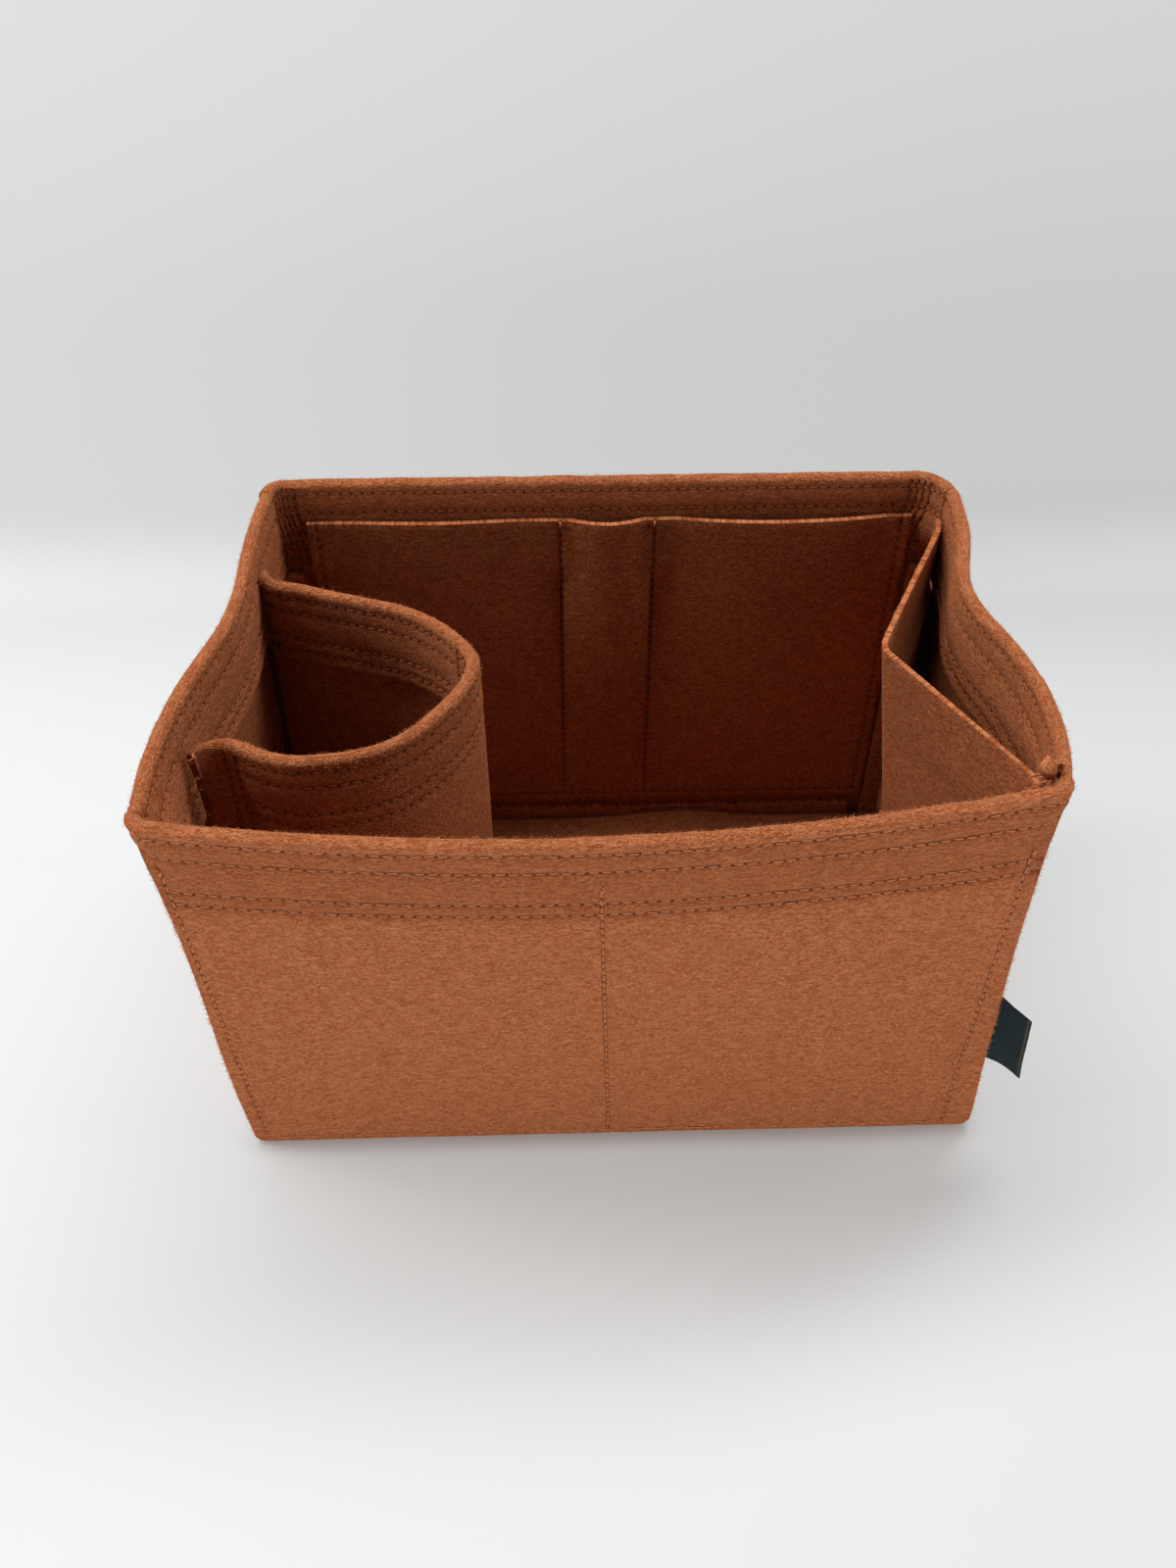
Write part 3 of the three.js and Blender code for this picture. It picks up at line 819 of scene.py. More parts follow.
BACK_POCKET_ROWS = (BACK_POCKET_CUT[0] + BACK_MARGIN, BACK_POCKET_CUT[1] - BACK_MARGIN)
BACK_POCKET_RISE = (BACK_POCKET_LOW + 3.5, BACK_POCKET_HIGH - 1)
BACK_POCKET_SEAMS = [
    *[Seam(x, *BACK_POCKET_RISE, up=True, deep=1.6) for x in BACK_DIVIDERS],
    *[Seam(x, *BACK_POCKET_RISE, up=True) for x in BACK_POCKET_ROWS],
    Seam(BACK_POCKET_RISE[0], *BACK_POCKET_ROWS),
]

FRONT_POCKET_LOW, FRONT_POCKET_HIGH = heights("front_pocket_panel")
FRONT_POCKET_INSET = FELT + 1
FRONT_POCKET_HALF = LENGTH / 2 - FRONT_POCKET_INSET
FRONT_DIVIDER = -4
FLANGE_EASE = 8
PARED = FELT * 1.1


def front_pocket_place(s, t):
    """Visible face of the front pocket. Its cut runs from right to left."""
    flat_x = -s
    side = math.copysign(1, flat_x)
    edge = abs(end_face(side, -DEPTH / 2, t)) - FRONT_POCKET_INSET
    x = flat_x / FRONT_POCKET_HALF * edge
    over = clamp((abs(s) - FRONT_POCKET_HALF + CORNER_FLANGE + FLANGE_EASE) / FLANGE_EASE)
    lines = (-FRONT_POCKET_HALF, FRONT_DIVIDER, FRONT_POCKET_HALF)
    gape = bay_gape(flat_x, t, lines, (FRONT_GAPE, FRONT_GAPE), BASE_FLANGE + SEAM_GAP, FRONT_POCKET_HIGH)
    pushed = FELT * hem_share(t) + (PARED + SEAM_GAP) * over
    return Vector((x, inside_front(x, t, FELT + SEAM_GAP + max(pushed, gape) + RAW_FELT), t))


FRONT_POCKET_SEAMS = [
    Seam(s, 6, FRONT_POCKET_HIGH - 1, up=True)
    for s in (-FRONT_DIVIDER, -FRONT_POCKET_HALF + 3, FRONT_POCKET_HALF - 6)
]


# Bottle holder
HOLDER_LOW, HOLDER_TOP = heights("bottle_holder")
HOLDER_REACH = 92
HOLDER_SPAN = 109
HOLDER_NEAR = -59
HOLDER_SEAT = 1.5
HOLDER_FACING = 33
HOLDER_ROWS = (5, 11.5, 24, 30)
HOLDER_FLANGE = 5
HOLDER_FREE = 0.125
HOLDER_STAND_OFF = 0.5
HOLDER_STAND_OFF_RUN = (3, 15)
HOLDER_FAR_SINK = 0.9
HOLDER_FAR_SINK_RUN = (15, 5)
HOLDER_PINCH = 0.4
HOLDER_PINCH_RUN = 15
HOLDER_TACKS = (12, 16)
HOLDER_APEX_ROWS = (128, 133, 139)
HOLDER_OUTLINE = (
    (0, 0.03), (0, 0.055), (0.1, 0.075), (0.25, 0.012), (0.43, -0.01), (0.7, 0.055), (0.9, 0.24),
    (1, 0.46), (0.92, 0.62), (0.72, 0.775), (0.39, 0.885), (0.12, 0.965), (0, 1), (0, 1.03),
)


def curve_through(points, count):
    """Evenly spaced points on a smooth curve through the given ones."""
    fine = []
    padded = [points[0], *points, points[-1]]
    for p0, p1, p2, p3 in zip(padded, padded[1:], padded[2:], padded[3:]):
        for i in range(20):
            u = i / 20
            fine.append(
                ((2 * p1) + (p2 - p0) * u + (2 * p0 - 5 * p1 + 4 * p2 - p3) * u**2
                 + (3 * p1 - p0 - 3 * p2 + p3) * u**3) / 2
            )
    fine.append(points[-1])
    lengths = [0]
    for a, b in zip(fine, fine[1:]):
        lengths.append(lengths[-1] + (b - a).length)
    even = []
    for i in range(count + 1):
        want = lengths[-1] * i / count
        k = min(bisect.bisect(lengths, want), len(fine) - 1)
        gap = max(lengths[k] - lengths[k - 1], 1e-9)
        even.append(fine[k - 1].lerp(fine[k], (want - lengths[k - 1]) / gap))
    return even, lengths[-1]


HOLDER_RUN, HOLDER_CUT_LENGTH = curve_through(
    [Vector((out * HOLDER_REACH, along * HOLDER_SPAN)) for out, along in HOLDER_OUTLINE], 200
)
HOLDER_CUT = (0, HOLDER_CUT_LENGTH)


def on_run(points, share):
    place = clamp(share) * (len(points) - 1)
    i = min(int(place), len(points) - 2)
    return points[i].lerp(points[i + 1], place - i)


def holder_path(s, z):
    spot = on_run(HOLDER_RUN, s / HOLDER_CUT_LENGTH)
    out = max(spot.x, 0)
    y = HOLDER_NEAR + spot.y
    wall_x = inside_end(-1, y, z, wall_stack(z) + PARED)
    wall_x += HOLDER_STAND_OFF * (1 - smooth(s, *HOLDER_STAND_OFF_RUN))
    wall_x -= HOLDER_FAR_SINK * smooth(s, *[HOLDER_CUT_LENGTH - run for run in HOLDER_FAR_SINK_RUN])
    seat_x = -LENGTH / 2 + FELT + HOLDER_SEAT
    free = clamp(out / HOLDER_REACH / HOLDER_FREE)
    return Vector((lerp(wall_x, seat_x, free) + out, y))


def holder_pinch(s):
    """The near raw end is squeezed thin by its tacks."""
    return lerp(HOLDER_PINCH, 1, smooth(s, 0, HOLDER_PINCH_RUN))


def holder_place(s, t):
    z, inset = fold_over(t, HOLDER_TOP)
    return along_path(holder_path, clamp(s, 0.6, HOLDER_CUT_LENGTH - 0.6), z, inset * holder_pinch(s))


HOLDER_SEAMS = [
    *rim_seams(HOLDER_TACKS[1], HOLDER_CUT_LENGTH - HOLDER_FLANGE - 3, HOLDER_TOP, HOLDER_ROWS),
    *[Seam(at, HOLDER_LOW + 3, HOLDER_TOP - 4, up=True, deep=1.5) for at in HOLDER_TACKS],
    Seam(HOLDER_CUT_LENGTH - HOLDER_FLANGE, HOLDER_LOW + 3, HOLDER_TOP - 4, up=True),
    *[
        Seam(at, turned_in(3, HOLDER_TOP), turned_in(HOLDER_FACING - 3, HOLDER_TOP), up=True, deep=1.3)
        for at in HOLDER_APEX_ROWS
    ],
]


# End pocket
END_POCKET_LOW, END_POCKET_TOP = heights("end_pocket_panel")
END_POCKET_HEELS = {"front": -73, "back": 75}
END_POCKET_CREASE = -4
END_POCKET_REACH = {"top": 31, "bottom": 12}
END_POCKET_FLANGE = {"front": 5, "back": 7}
END_POCKET_SINK = {"front": 0.4, "back": 1.2}
POCKET_EDGE = 2.2
END_POCKET_BEND = 5
END_POCKET_MARGIN = 4


def end_pocket_outline():
    """Plan of the end pocket: share of its reach, and Y, with rounded bends at the heels and the crease."""
    back, front, tip = END_POCKET_HEELS["back"], END_POCKET_HEELS["front"], END_POCKET_CREASE
    share = END_POCKET_BEND / (back - tip)

    def bend(start, by, end):
        return [
            start.lerp(by, i / 6).lerp(by.lerp(end, i / 6), i / 6)
            for i in range(7)
        ]

    heel_b, heel_f, crease = Vector((0, back)), Vector((0, front)), Vector((1, tip))
    points = [Vector((0, back + END_POCKET_FLANGE["back"]))]
    points += bend(Vector((0, back + END_POCKET_BEND)), heel_b, heel_b.lerp(crease, share))
    points += bend(crease.lerp(heel_b, share), crease, crease.lerp(heel_f, share))
    points += bend(heel_f.lerp(crease, share), heel_f, Vector((0, front - END_POCKET_BEND / 2)))
    points.append(Vector((0, front - END_POCKET_FLANGE["front"])))
    return points


END_POCKET_POINTS = end_pocket_outline()
END_POCKET_RUNS = [0]
for a, b in zip(END_POCKET_POINTS, END_POCKET_POINTS[1:]):
    stretched = Vector(((b.x - a.x) * END_POCKET_REACH["top"], b.y - a.y))
    END_POCKET_RUNS.append(END_POCKET_RUNS[-1] + stretched.length)
END_POCKET_CUT = (0, END_POCKET_RUNS[-1])


def end_pocket_path(s, z):
    s = clamp(s, *END_POCKET_CUT)
    i = min(max(bisect.bisect(END_POCKET_RUNS, s), 1), len(END_POCKET_RUNS) - 1)
    share = (s - END_POCKET_RUNS[i - 1]) / (END_POCKET_RUNS[i] - END_POCKET_RUNS[i - 1])
    spot = END_POCKET_POINTS[i - 1].lerp(END_POCKET_POINTS[i], share)
    up = (z - END_POCKET_LOW) / (END_POCKET_TOP - END_POCKET_LOW)
    reach = lerp(END_POCKET_REACH["bottom"], END_POCKET_REACH["top"], up)
    is_back = spot.y > END_POCKET_CREASE
    heel = max(spot.y, END_POCKET_HEELS["back"]) if is_back else min(spot.y, END_POCKET_HEELS["front"])
    sink = END_POCKET_SINK["back" if is_back else "front"] * (1 - spot.x)
    at_heel = inside_end(1, heel, z, wall_stack(z) + FELT - sink)
    at_crease = inside_end(1, END_POCKET_CREASE, z, lerp(wall_stack(0), wall_stack(HEIGHT), up) + FELT)
    return Vector((lerp(at_heel, at_crease, spot.x) - spot.x * reach, spot.y))


def end_pocket_place(s, t):
    return along_path(end_pocket_path, clamp(s, 0.6, END_POCKET_CUT[1] - 0.6), t, 0)


END_POCKET_SEAMS = [
    Seam(s, END_POCKET_LOW + 3, END_POCKET_TOP - 2, up=True)
    for s in (END_POCKET_MARGIN, END_POCKET_CUT[1] - END_POCKET_MARGIN)
]


# Base panel and the loose base
FRONT_STACK = 2 * (FELT + SEAM_GAP)
BASE_X = LENGTH / 2 - FELT - SEAM_GAP
BASE_FRONT = -DEPTH / 2 + FRONT_STACK
BASE_BACK = DEPTH / 2 - FELT - SEAM_GAP
FLANGE_HALF = LENGTH / 2 - CORNER_FLANGE - 2 * FELT
END_FLANGE_HALF = DEPTH / 2 - FELT - FRONT_STACK - CORNER
TURN_UP = BASE_FLANGE - BASE_FOLD + BASE_FOLD * math.pi / 2 - 0.2


def turn_up(past):
    """Distance out and height of a place so far past the line where the flange starts to turn up."""
    if past <= 0:
        return past, 0
    turn = min(past / BASE_FOLD, math.pi / 2)
    rest = max(past - BASE_FOLD * math.pi / 2, 0)
    return BASE_FOLD * math.sin(turn), BASE_FOLD * (1 - math.cos(turn)) + rest


def in_base_corner(s, t):
    return abs(s) > FLANGE_HALF and (t < -END_FLANGE_HALF or t > END_FLANGE_HALF)


def base_place(s, t):
    if in_base_corner(s, t):
        x = math.copysign(min(abs(s), BASE_X - SEAM_GAP), s)
        return Vector((x, clamp(t, BASE_FRONT + SEAM_GAP, BASE_BACK - SEAM_GAP), 0))
    out_x, z_x = turn_up(abs(s) - BASE_X + BASE_FOLD)
    out_y, z_y = turn_up(t - BASE_BACK + BASE_FOLD) if t > 0 else turn_up(BASE_FRONT + BASE_FOLD - t)
    z = max(z_x, z_y)
    x = math.copysign(BASE_X - BASE_FOLD + out_x, s)
    y = BASE_BACK - BASE_FOLD + out_y if t > 0 else BASE_FRONT + BASE_FOLD - out_y
    if z_x > 0:
        x += inside_end(math.copysign(1, s), y, z, FELT + SEAM_GAP) - math.copysign(BASE_X, s)
    if z_y > 0:
        y += (inside_back(x, z, FELT + SEAM_GAP) - BASE_BACK) if t > 0 else (
            inside_front(x, z, FRONT_STACK) - BASE_FRONT)
    return Vector((x, y, z))


def base_keep(s, t):
    return not in_base_corner(s, t) or (abs(s) <= BASE_X and BASE_FRONT <= t <= BASE_BACK)


BASE_CUT = (-BASE_X + BASE_FOLD - TURN_UP, BASE_X - BASE_FOLD + TURN_UP)
BASE_RISE = (BASE_FRONT + BASE_FOLD - TURN_UP, BASE_BACK - BASE_FOLD + TURN_UP)

INSERT_MARGIN = 1.5
INSERT_CLEAR = SEAM_GAP + 0.2
INSERT_LIFT = 5
INSERT_LIFT_PLACE = 40
INSERT_LIFT_SPREAD = 28
INSERT_LIFT_REACH = 45
INSERT_CORNER = 10
INSERT_EDGE_LINES = (0.4, 1, 2, 3.5, 5, 7, 10)
INSERT_HALF = LENGTH / 2 - 2 * FELT - SEAM_GAP - INSERT_MARGIN
INSERT_FRONT = -DEPTH / 2 + FRONT_STACK + FELT + INSERT_MARGIN
INSERT_BACK = DEPTH / 2 - 2 * FELT - SEAM_GAP - INSERT_MARGIN


def insert_place(s, t):
    """Underside of the loose base, with its rounded corners and the wave in its back edge."""
    past = max(abs(s) - INSERT_HALF + INSERT_CORNER, 0)
    cut = INSERT_CORNER - math.sqrt(max(INSERT_CORNER**2 - past**2, 0))
    y = lerp(INSERT_FRONT + cut, INSERT_BACK - cut, (t - INSERT_FRONT) / (INSERT_BACK - INSERT_FRONT))
    across = (s - INSERT_LIFT_PLACE) / INSERT_LIFT_SPREAD
    near_back = clamp(1 - (INSERT_BACK - y) / INSERT_LIFT_REACH)
    lift = INSERT_LIFT * math.exp(-(across**2)) * near_back**2
    return Vector((s, y, FELT + INSERT_CLEAR + lift))


# Label
LABEL_FOOT = 44.5
LABEL_TALL = 39
LABEL_REACH = 15.6
LABEL_PLY = 0.5
LABEL_SLIT = 0.4
LABEL_ANGLE = {"foot": math.radians(-38), "top": math.radians(-58)}
LABEL_TUCK = 1.5
LABEL_BOW = 1.1
LABEL_TWIST = 0.9
LABEL_DROOP = 0.6
LABEL_EDGE = 0.08


def label_root(z):
    edge = end_face(1, -DEPTH / 2, z)
    return Vector((edge + LABEL_PLY + LABEL_SLIT / 2 + SEAM_GAP - LABEL_TUCK, front_face(edge, z) + FELT, z))


LABEL_TURN = LABEL_PLY + LABEL_SLIT / 2
LABEL_STRAIGHT = LABEL_REACH - LABEL_TURN
LABEL_CUT = (0, 2 * LABEL_STRAIGHT + math.pi * LABEL_TURN)


def label_place(s, t):
    """Outer face of the folded tape: out along one ply, round the fold and back along the other."""
    if s < LABEL_STRAIGHT:
        out, beside = s, -LABEL_TURN
    elif s > LABEL_CUT[1] - LABEL_STRAIGHT:
        out, beside = LABEL_CUT[1] - s, LABEL_TURN
    else:
        turn = (s - LABEL_STRAIGHT) / LABEL_TURN
        out = LABEL_STRAIGHT + LABEL_TURN * math.sin(turn)
        beside = -LABEL_TURN * math.cos(turn)
    up = t / LABEL_TALL
    share = out / LABEL_REACH
    sway = LABEL_BOW * math.sin(math.pi * share) * lerp(1, -0.2, up)
    sway += LABEL_TWIST * share**2 * lerp(-1, 1, up)
    root = label_root(LABEL_FOOT + t)
    angle = lerp(LABEL_ANGLE["foot"], LABEL_ANGLE["top"], up)
    way = Vector((math.cos(angle), math.sin(angle), 0))
    side = Vector((-way.y, way.x, 0))
    return root + way * out + side * (beside + sway) - Vector((0, 0, LABEL_DROOP * share**2))


# Shader maths
class Value:
    """One number of a finish, so that its maths reads as an expression."""

    def __init__(self, finish, socket):
        self.finish = finish
        self.socket = socket

    def _with(self, operation, *others):
        node = self.finish.node("ShaderNodeMath", {"operation": operation}, dict(enumerate([self, *others])))
        return Value(self.finish, node.outputs[0])

    def __add__(self, other):
        return self._with("ADD", other)

    __radd__ = __add__

    def __mul__(self, other):
        return self._with("MULTIPLY", other)

    __rmul__ = __mul__

    def __sub__(self, other):
        return self._with("SUBTRACT", other)

    def __rsub__(self, other):
        return Value(self.finish, self.finish.node(
            "ShaderNodeMath", {"operation": "SUBTRACT"}, {0: other, 1: self}).outputs[0])

    def __truediv__(self, other):
        return self._with("DIVIDE", other)

    def __pow__(self, other):
        return self._with("POWER", other)

    def __abs__(self):
        return self._with("ABSOLUTE")

    def pingpong(self, span):
        return self._with("PINGPONG", span)

    def between(self, low, high):
        """0 at low and 1 at high, smoothly."""
        node = self.finish.node(
            "ShaderNodeMapRange", {"interpolation_type": "SMOOTHSTEP"},
            {"Value": self, "From Min": low, "From Max": high},
        )
        return Value(self.finish, node.outputs[0])


class Finish:
    """A material built from nodes."""

    def __init__(self, name):
        self.material = bpy.data.materials.new(name)
        self.material.use_nodes = True
        self.tree = self.material.node_tree
        self.tree.nodes.clear()

    def node(self, kind, settings=None, inputs=None):
        made = self.tree.nodes.new(kind)
        for key, value in (settings or {}).items():
            setattr(made, key, value)
        for key, value in (inputs or {}).items():
            socket = made.inputs[key]
            if isinstance(value, Value):
                self.tree.links.new(value.socket, socket)
            elif isinstance(value, bpy.types.NodeSocket):
                self.tree.links.new(value, socket)
            else:
                socket.default_value = value
        return made

    def value(self, kind, settings, inputs):
        return Value(self, self.node(kind, settings, inputs).outputs[0])

    def attribute(self, name):
        return Value(self, self.node("ShaderNodeAttribute", {"attribute_name": name}).outputs["Fac"])

    def mix(self, share, first, second):
        made = self.node("ShaderNodeMix", {"data_type": "RGBA"}, {"Factor": share, 6: first, 7: second})
        return made.outputs[2]

    def bump(self, height, distance, strength):
        """The normal of a relief whose full height is a distance in metres."""
        settings = {"Height": height, "Distance": distance, "Strength": strength}
        return self.node("ShaderNodeBump", {}, settings).outputs[0]

    def principled(self, **inputs):
        """A shader whose inputs are given by their names."""
        return self.node("ShaderNodeBsdfPrincipled", {}, {
            key.replace("_", " "): value for key, value in inputs.items()}).outputs[0]

    def surface(self, shader):
        output = self.node("ShaderNodeOutputMaterial")
        self.tree.links.new(shader, output.inputs["Surface"])
        return self.material


def rgb(red, green, blue):
    return (red, green, blue, 1)


def toned(colour, red, green, blue):
    return rgb(colour[0] * red, colour[1] * green, colour[2] * blue)


def felt_finish(name, deep, light, seed, groove_shade):
    """Dense felt: short curled fibres that lie mostly level, dark gaps, and needle holes along the seams, with
    painted shade in the seam grooves, in the needle holes and where the sheet's darker tone says.
    """
    felt = Finish(name)
    cut = felt.node("ShaderNodeUVMap", {"uv_map": "cut"}).outputs[0]
    laid = felt.node("ShaderNodeMapping", {}, {"Vector": cut, "Location": (seed, seed / 3, 0),
                                               "Scale": (1 / MM, 1 / MM, 1)}).outputs[0]

    def grain(along, across, detail=2, rough=0.5, warp=0.0):
        """Noise whose lumps are so many millimetres along the felt's level way and across it."""
        scale = (1 / along, 1 / across, 1)
        shaped = felt.node("ShaderNodeMapping", {}, {"Vector": laid, "Scale": scale}).outputs[0]
        return felt.value("ShaderNodeTexNoise", {"noise_dimensions": "2D"}, {
            "Vector": shaped, "Scale": 1, "Detail": detail, "Roughness": rough, "Distortion": warp,
        })

    def thin_lines(noise_value, sharpness):
        return (1 - abs(noise_value * 2 - 1)) ** sharpness

    patches = grain(9, 6, 2, 0.5)
    streaks = grain(4.5, 1.6, 2, 0.5, 0.8)
    ripples = grain(2.4, 0.95, 1, 0.5, 1.4)
    specks = grain(1.3, 0.62, 1, 0.5, 0.8)
    hairs = thin_lines(grain(4.2, 1.9, 1, 0.5, 2.4), 5) * ripples.between(0.35, 0.6)
    tone = (patches * 0.08 + streaks * 0.12 + ripples * 0.44 + specks * 0.36).between(0.4, 0.6)
    seam = felt.attribute("seam")
    along = felt.attribute("along")
    tone_and_painted_shade = felt.attribute("tone_and_painted_shade")
    # Needle holes along each row, drawn as dark dots: painted shade in the holes
    from_hole = (along / STITCH).pingpong(0.5)
    hole = (1 - from_hole.between(0.08, 0.27)) * seam.between(0.35, 0.95)
    hole = hole * (streaks.between(0.3, 0.6) * 0.6 + 0.4)
    crease = seam.between(0.0, 1.0)
    colour = felt.mix(tone, deep, light)
    colour = felt.mix(hairs * 0.5, colour, toned(light, 1.12, 1.3, 1.6))
    # Painted shade: darker in the seam grooves, and where the sheet's darker tone and raw-end shade say
    colour = felt.mix(crease * groove_shade + tone_and_painted_shade * 0.3, colour, toned(deep, 0.6, 0.55, 0.5))
    colour = felt.mix(hole * 0.85, colour, toned(deep, 0.22, 0.16, 0.14))
    relief = ripples * 1.4 + specks * 0.7 + streaks * 0.5 + patches * 0.5 + hairs * 0.5 - hole * 1.6
    normal = felt.bump(relief, 0.0005, 1.0)
    return felt.surface(felt.principled(
        Base_Color=colour, Roughness=specks * 0.08 + 0.88, Normal=normal, Specular_IOR_Level=0.1,
        Sheen_Weight=0.16, Sheen_Roughness=0.5, Sheen_Tint=rgb(1.0, 0.5, 0.28),
    ))


def thread_finish(name, colour, shine):
    """Twisted sewing thread."""
    thread = Finish(name)
    place = thread.node("ShaderNodeTexCoord").outputs["Object"]
    fibres = thread.value("ShaderNodeTexNoise", {}, {"Vector": place, "Scale": 2600, "Detail": 2})
    twist = thread.value("ShaderNodeTexNoise", {}, {"Vector": place, "Scale": 700, "Detail": 1})
    dark, bright = rgb(*[part * 0.62 for part in colour]), rgb(*[min(part * 1.3, 1) for part in colour])
    tone = thread.mix(fibres * 0.6 + twist * 0.4, dark, bright)
    normal = thread.bump(fibres, 0.0001, 0.6)
    return thread.surface(thread.principled(Base_Color=tone, Roughness=fibres * 0.2 + shine, Normal=normal))


def label_finish():
    """Satin-woven tape in very dark teal, with a gold line beside the fold."""
    tape = Finish("label_weave")
    cut = tape.node("ShaderNodeUVMap", {"uv_map": "cut"}).outputs[0]
    parts = tape.node("ShaderNodeSeparateXYZ", {}, {0: cut})
    out = Value(tape, parts.outputs[0]) / MM
    up = Value(tape, parts.outputs[1]) / MM
    warp_threads = (out * 2.4).pingpong(0.5)
    weft_threads = (up * 2.9 + warp_threads * 0.5).pingpong(0.5)
    from_fold = abs(out - LABEL_CUT[1] / 2)
    line = 1 - abs(from_fold - 1.3).between(0.12, 0.3)
    dash = (up * 1.45).pingpong(0.5).between(0.06, 0.2)
    clouds = tape.value("ShaderNodeTexNoise", {}, {"Vector": cut, "Scale": 260, "Detail": 3})
    weave = clouds * 0.6 + weft_threads * 0.8
    ground = tape.mix(weave, rgb(0.002, 0.008, 0.011), rgb(0.008, 0.024, 0.029))
    colour = tape.mix(line * dash * 0.75, ground, rgb(0.2, 0.105, 0.035))
    relief = warp_threads * 0.7 + weft_threads + line * 0.6
    normal = tape.bump(relief, 0.00012, 0.7)
    return tape.surface(tape.principled(
        Base_Color=colour, Roughness=clouds * 0.15 + 0.5, Normal=normal, Specular_IOR_Level=0.16))


# Colours, as the felt renders in plain light
FELT_DEEP = rgb(0.268, 0.058, 0.012)
FELT_LIGHT = rgb(0.485, 0.163, 0.062)
# The last number is the strength of the painted shade in the seam grooves
WALL_FELT = felt_finish("wall_felt", FELT_DEEP, FELT_LIGHT, 1, 0.45)
POCKET_FELT = felt_finish("pocket_felt", FELT_DEEP, FELT_LIGHT, 40, 0.8)
BASE_FELT = felt_finish("base_felt", FELT_DEEP, FELT_LIGHT, 80, 0.45)
SEAM_THREAD = thread_finish("seam_thread", (0.5, 0.165, 0.058), 0.65)
INNER_THREAD = thread_finish("inner_thread", (0.44, 0.125, 0.037), 0.7)
TACK_THREAD = thread_finish("tack_thread", (0.74, 0.26, 0.088), 0.55)
LOOSE_FIBRE = thread_finish("loose_fibre", (0.6, 0.22, 0.08), 0.85)
LABEL_WEAVE = label_finish()


def felt_piece(
    name, node, slot, material, across, up, place, seams=(), held="stretched", rests_on=(), body="shell",
    **ways,
):
    """A sheet in its material and on its body, laid from its flat cut."""
    piece = felt_sheet(name, across, up, place, seams, **ways)
    dress(piece, material, slot, body)
    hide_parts(node)
    flat_cut(across, up)
    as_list(rests_on)


HEMMED = {"pressed_from": HEM_EDGE, "top": HEIGHT}
felt_piece(
    "front_wall", "front_panel", "wall_felt", WALL_FELT, FRONT_CUT, RIM_CUT, front_place, FRONT_SEAMS, seed=1,
    extra_across=(*FRONT_FOOT_LINES["left"], *[LENGTH - at for at in FRONT_FOOT_LINES["right"]]),
    extra_up=CREST, hem_tone=1.0, **HEMMED,
)
felt_piece(
    "back_wall", "back_panel", "wall_felt", WALL_FELT, FRONT_CUT, RIM_CUT, back_place, BACK_SEAMS, seed=2,
    extra_up=CREST, hem_tone=0.6, **HEMMED,
)
for side, name, node in ((-1, "left_end_wall", "left_end_panel"), (1, "right_end_wall", "right_end_panel")):
    felt_piece(
        name, node, "wall_felt", WALL_FELT, (0, END_CUT), RIM_CUT, end_place(side), END_SEAMS,
        keep=end_keep(side), seed=4 + side, extra_up=(*CREST, *FLANGE_TOP.values()), extra_across=END_CORNERS,
        **HEMMED,
    )
BASE_TURNS = [BASE_FOLD / 2 * k for k in range(5)]
felt_piece(
    "base_sheet", "base_panel", "base_felt", BASE_FELT, BASE_CUT, BASE_RISE, base_place,
    keep=base_keep, seed=7, turned=True, step=5,
    extra_across=[sign * (BASE_X - BASE_FOLD + turn) for sign in (-1, 1) for turn in BASE_TURNS]
    + [-FLANGE_HALF, FLANGE_HALF, BASE_X - CORNER_FLANGE, CORNER_FLANGE - BASE_X],
    extra_up=[BASE_BACK - BASE_FOLD + turn for turn in BASE_TURNS]
    + [BASE_FRONT + BASE_FOLD - turn for turn in BASE_TURNS] + [-END_FLANGE_HALF, END_FLANGE_HALF],
)
felt_piece(
    "loose_base", "base_insert", "insert_felt", BASE_FELT, (-INSERT_HALF, INSERT_HALF),
    (INSERT_FRONT, INSERT_BACK), insert_place, held="laid", rests_on="base_sheet", body="insert",
    seed=8, turned=True,
    extra_across=[sign * (INSERT_HALF - k) for sign in (-1, 1) for k in INSERT_EDGE_LINES],
)
felt_piece(
    "back_pocket", "back_pocket_panel", "pocket_felt", POCKET_FELT, BACK_POCKET_CUT,
    (BACK_POCKET_LOW, BACK_POCKET_HIGH), back_pocket_place, BACK_POCKET_SEAMS, seed=9,
)
felt_piece(
    "front_pocket", "front_pocket_panel", "pocket_felt", POCKET_FELT, (-FRONT_POCKET_HALF, FRONT_POCKET_HALF),
    (FRONT_POCKET_LOW, FRONT_POCKET_HIGH), front_pocket_place, FRONT_POCKET_SEAMS, seed=10,
)
# Both raw ends of the holder get painted shade
felt_piece(
    "holder_strip", "bottle_holder", "pocket_felt", POCKET_FELT, HOLDER_CUT,
    (HOLDER_LOW, turned_in(HOLDER_FACING, HOLDER_TOP)), holder_place, HOLDER_SEAMS, seed=11, step=3,
    extra_up=crest_lines(HOLDER_TOP), pressed_from=HOLDER_TOP - HOLDER_FACING, top=HOLDER_TOP,
    pinch=holder_pinch, dark_ends=HOLDER_CUT,
)
felt_piece(
    "end_pocket", "end_pocket_panel", "pocket_felt", POCKET_FELT, END_POCKET_CUT,
    (END_POCKET_LOW, END_POCKET_TOP), end_pocket_place, END_POCKET_SEAMS, seed=12,
    extra_across=END_POCKET_RUNS[1:-1], thickness=POCKET_EDGE,
)
felt_piece(
    "side_tab", "side_label", "label_weave", LABEL_WEAVE, LABEL_CUT, (0, LABEL_TALL), label_place,
    held="folded", body="label", seed=13, thickness=LABEL_PLY, step=1, edge=LABEL_EDGE,
    extra_across=[LABEL_STRAIGHT + math.pi * LABEL_TURN * i / 6 for i in range(7)],
)


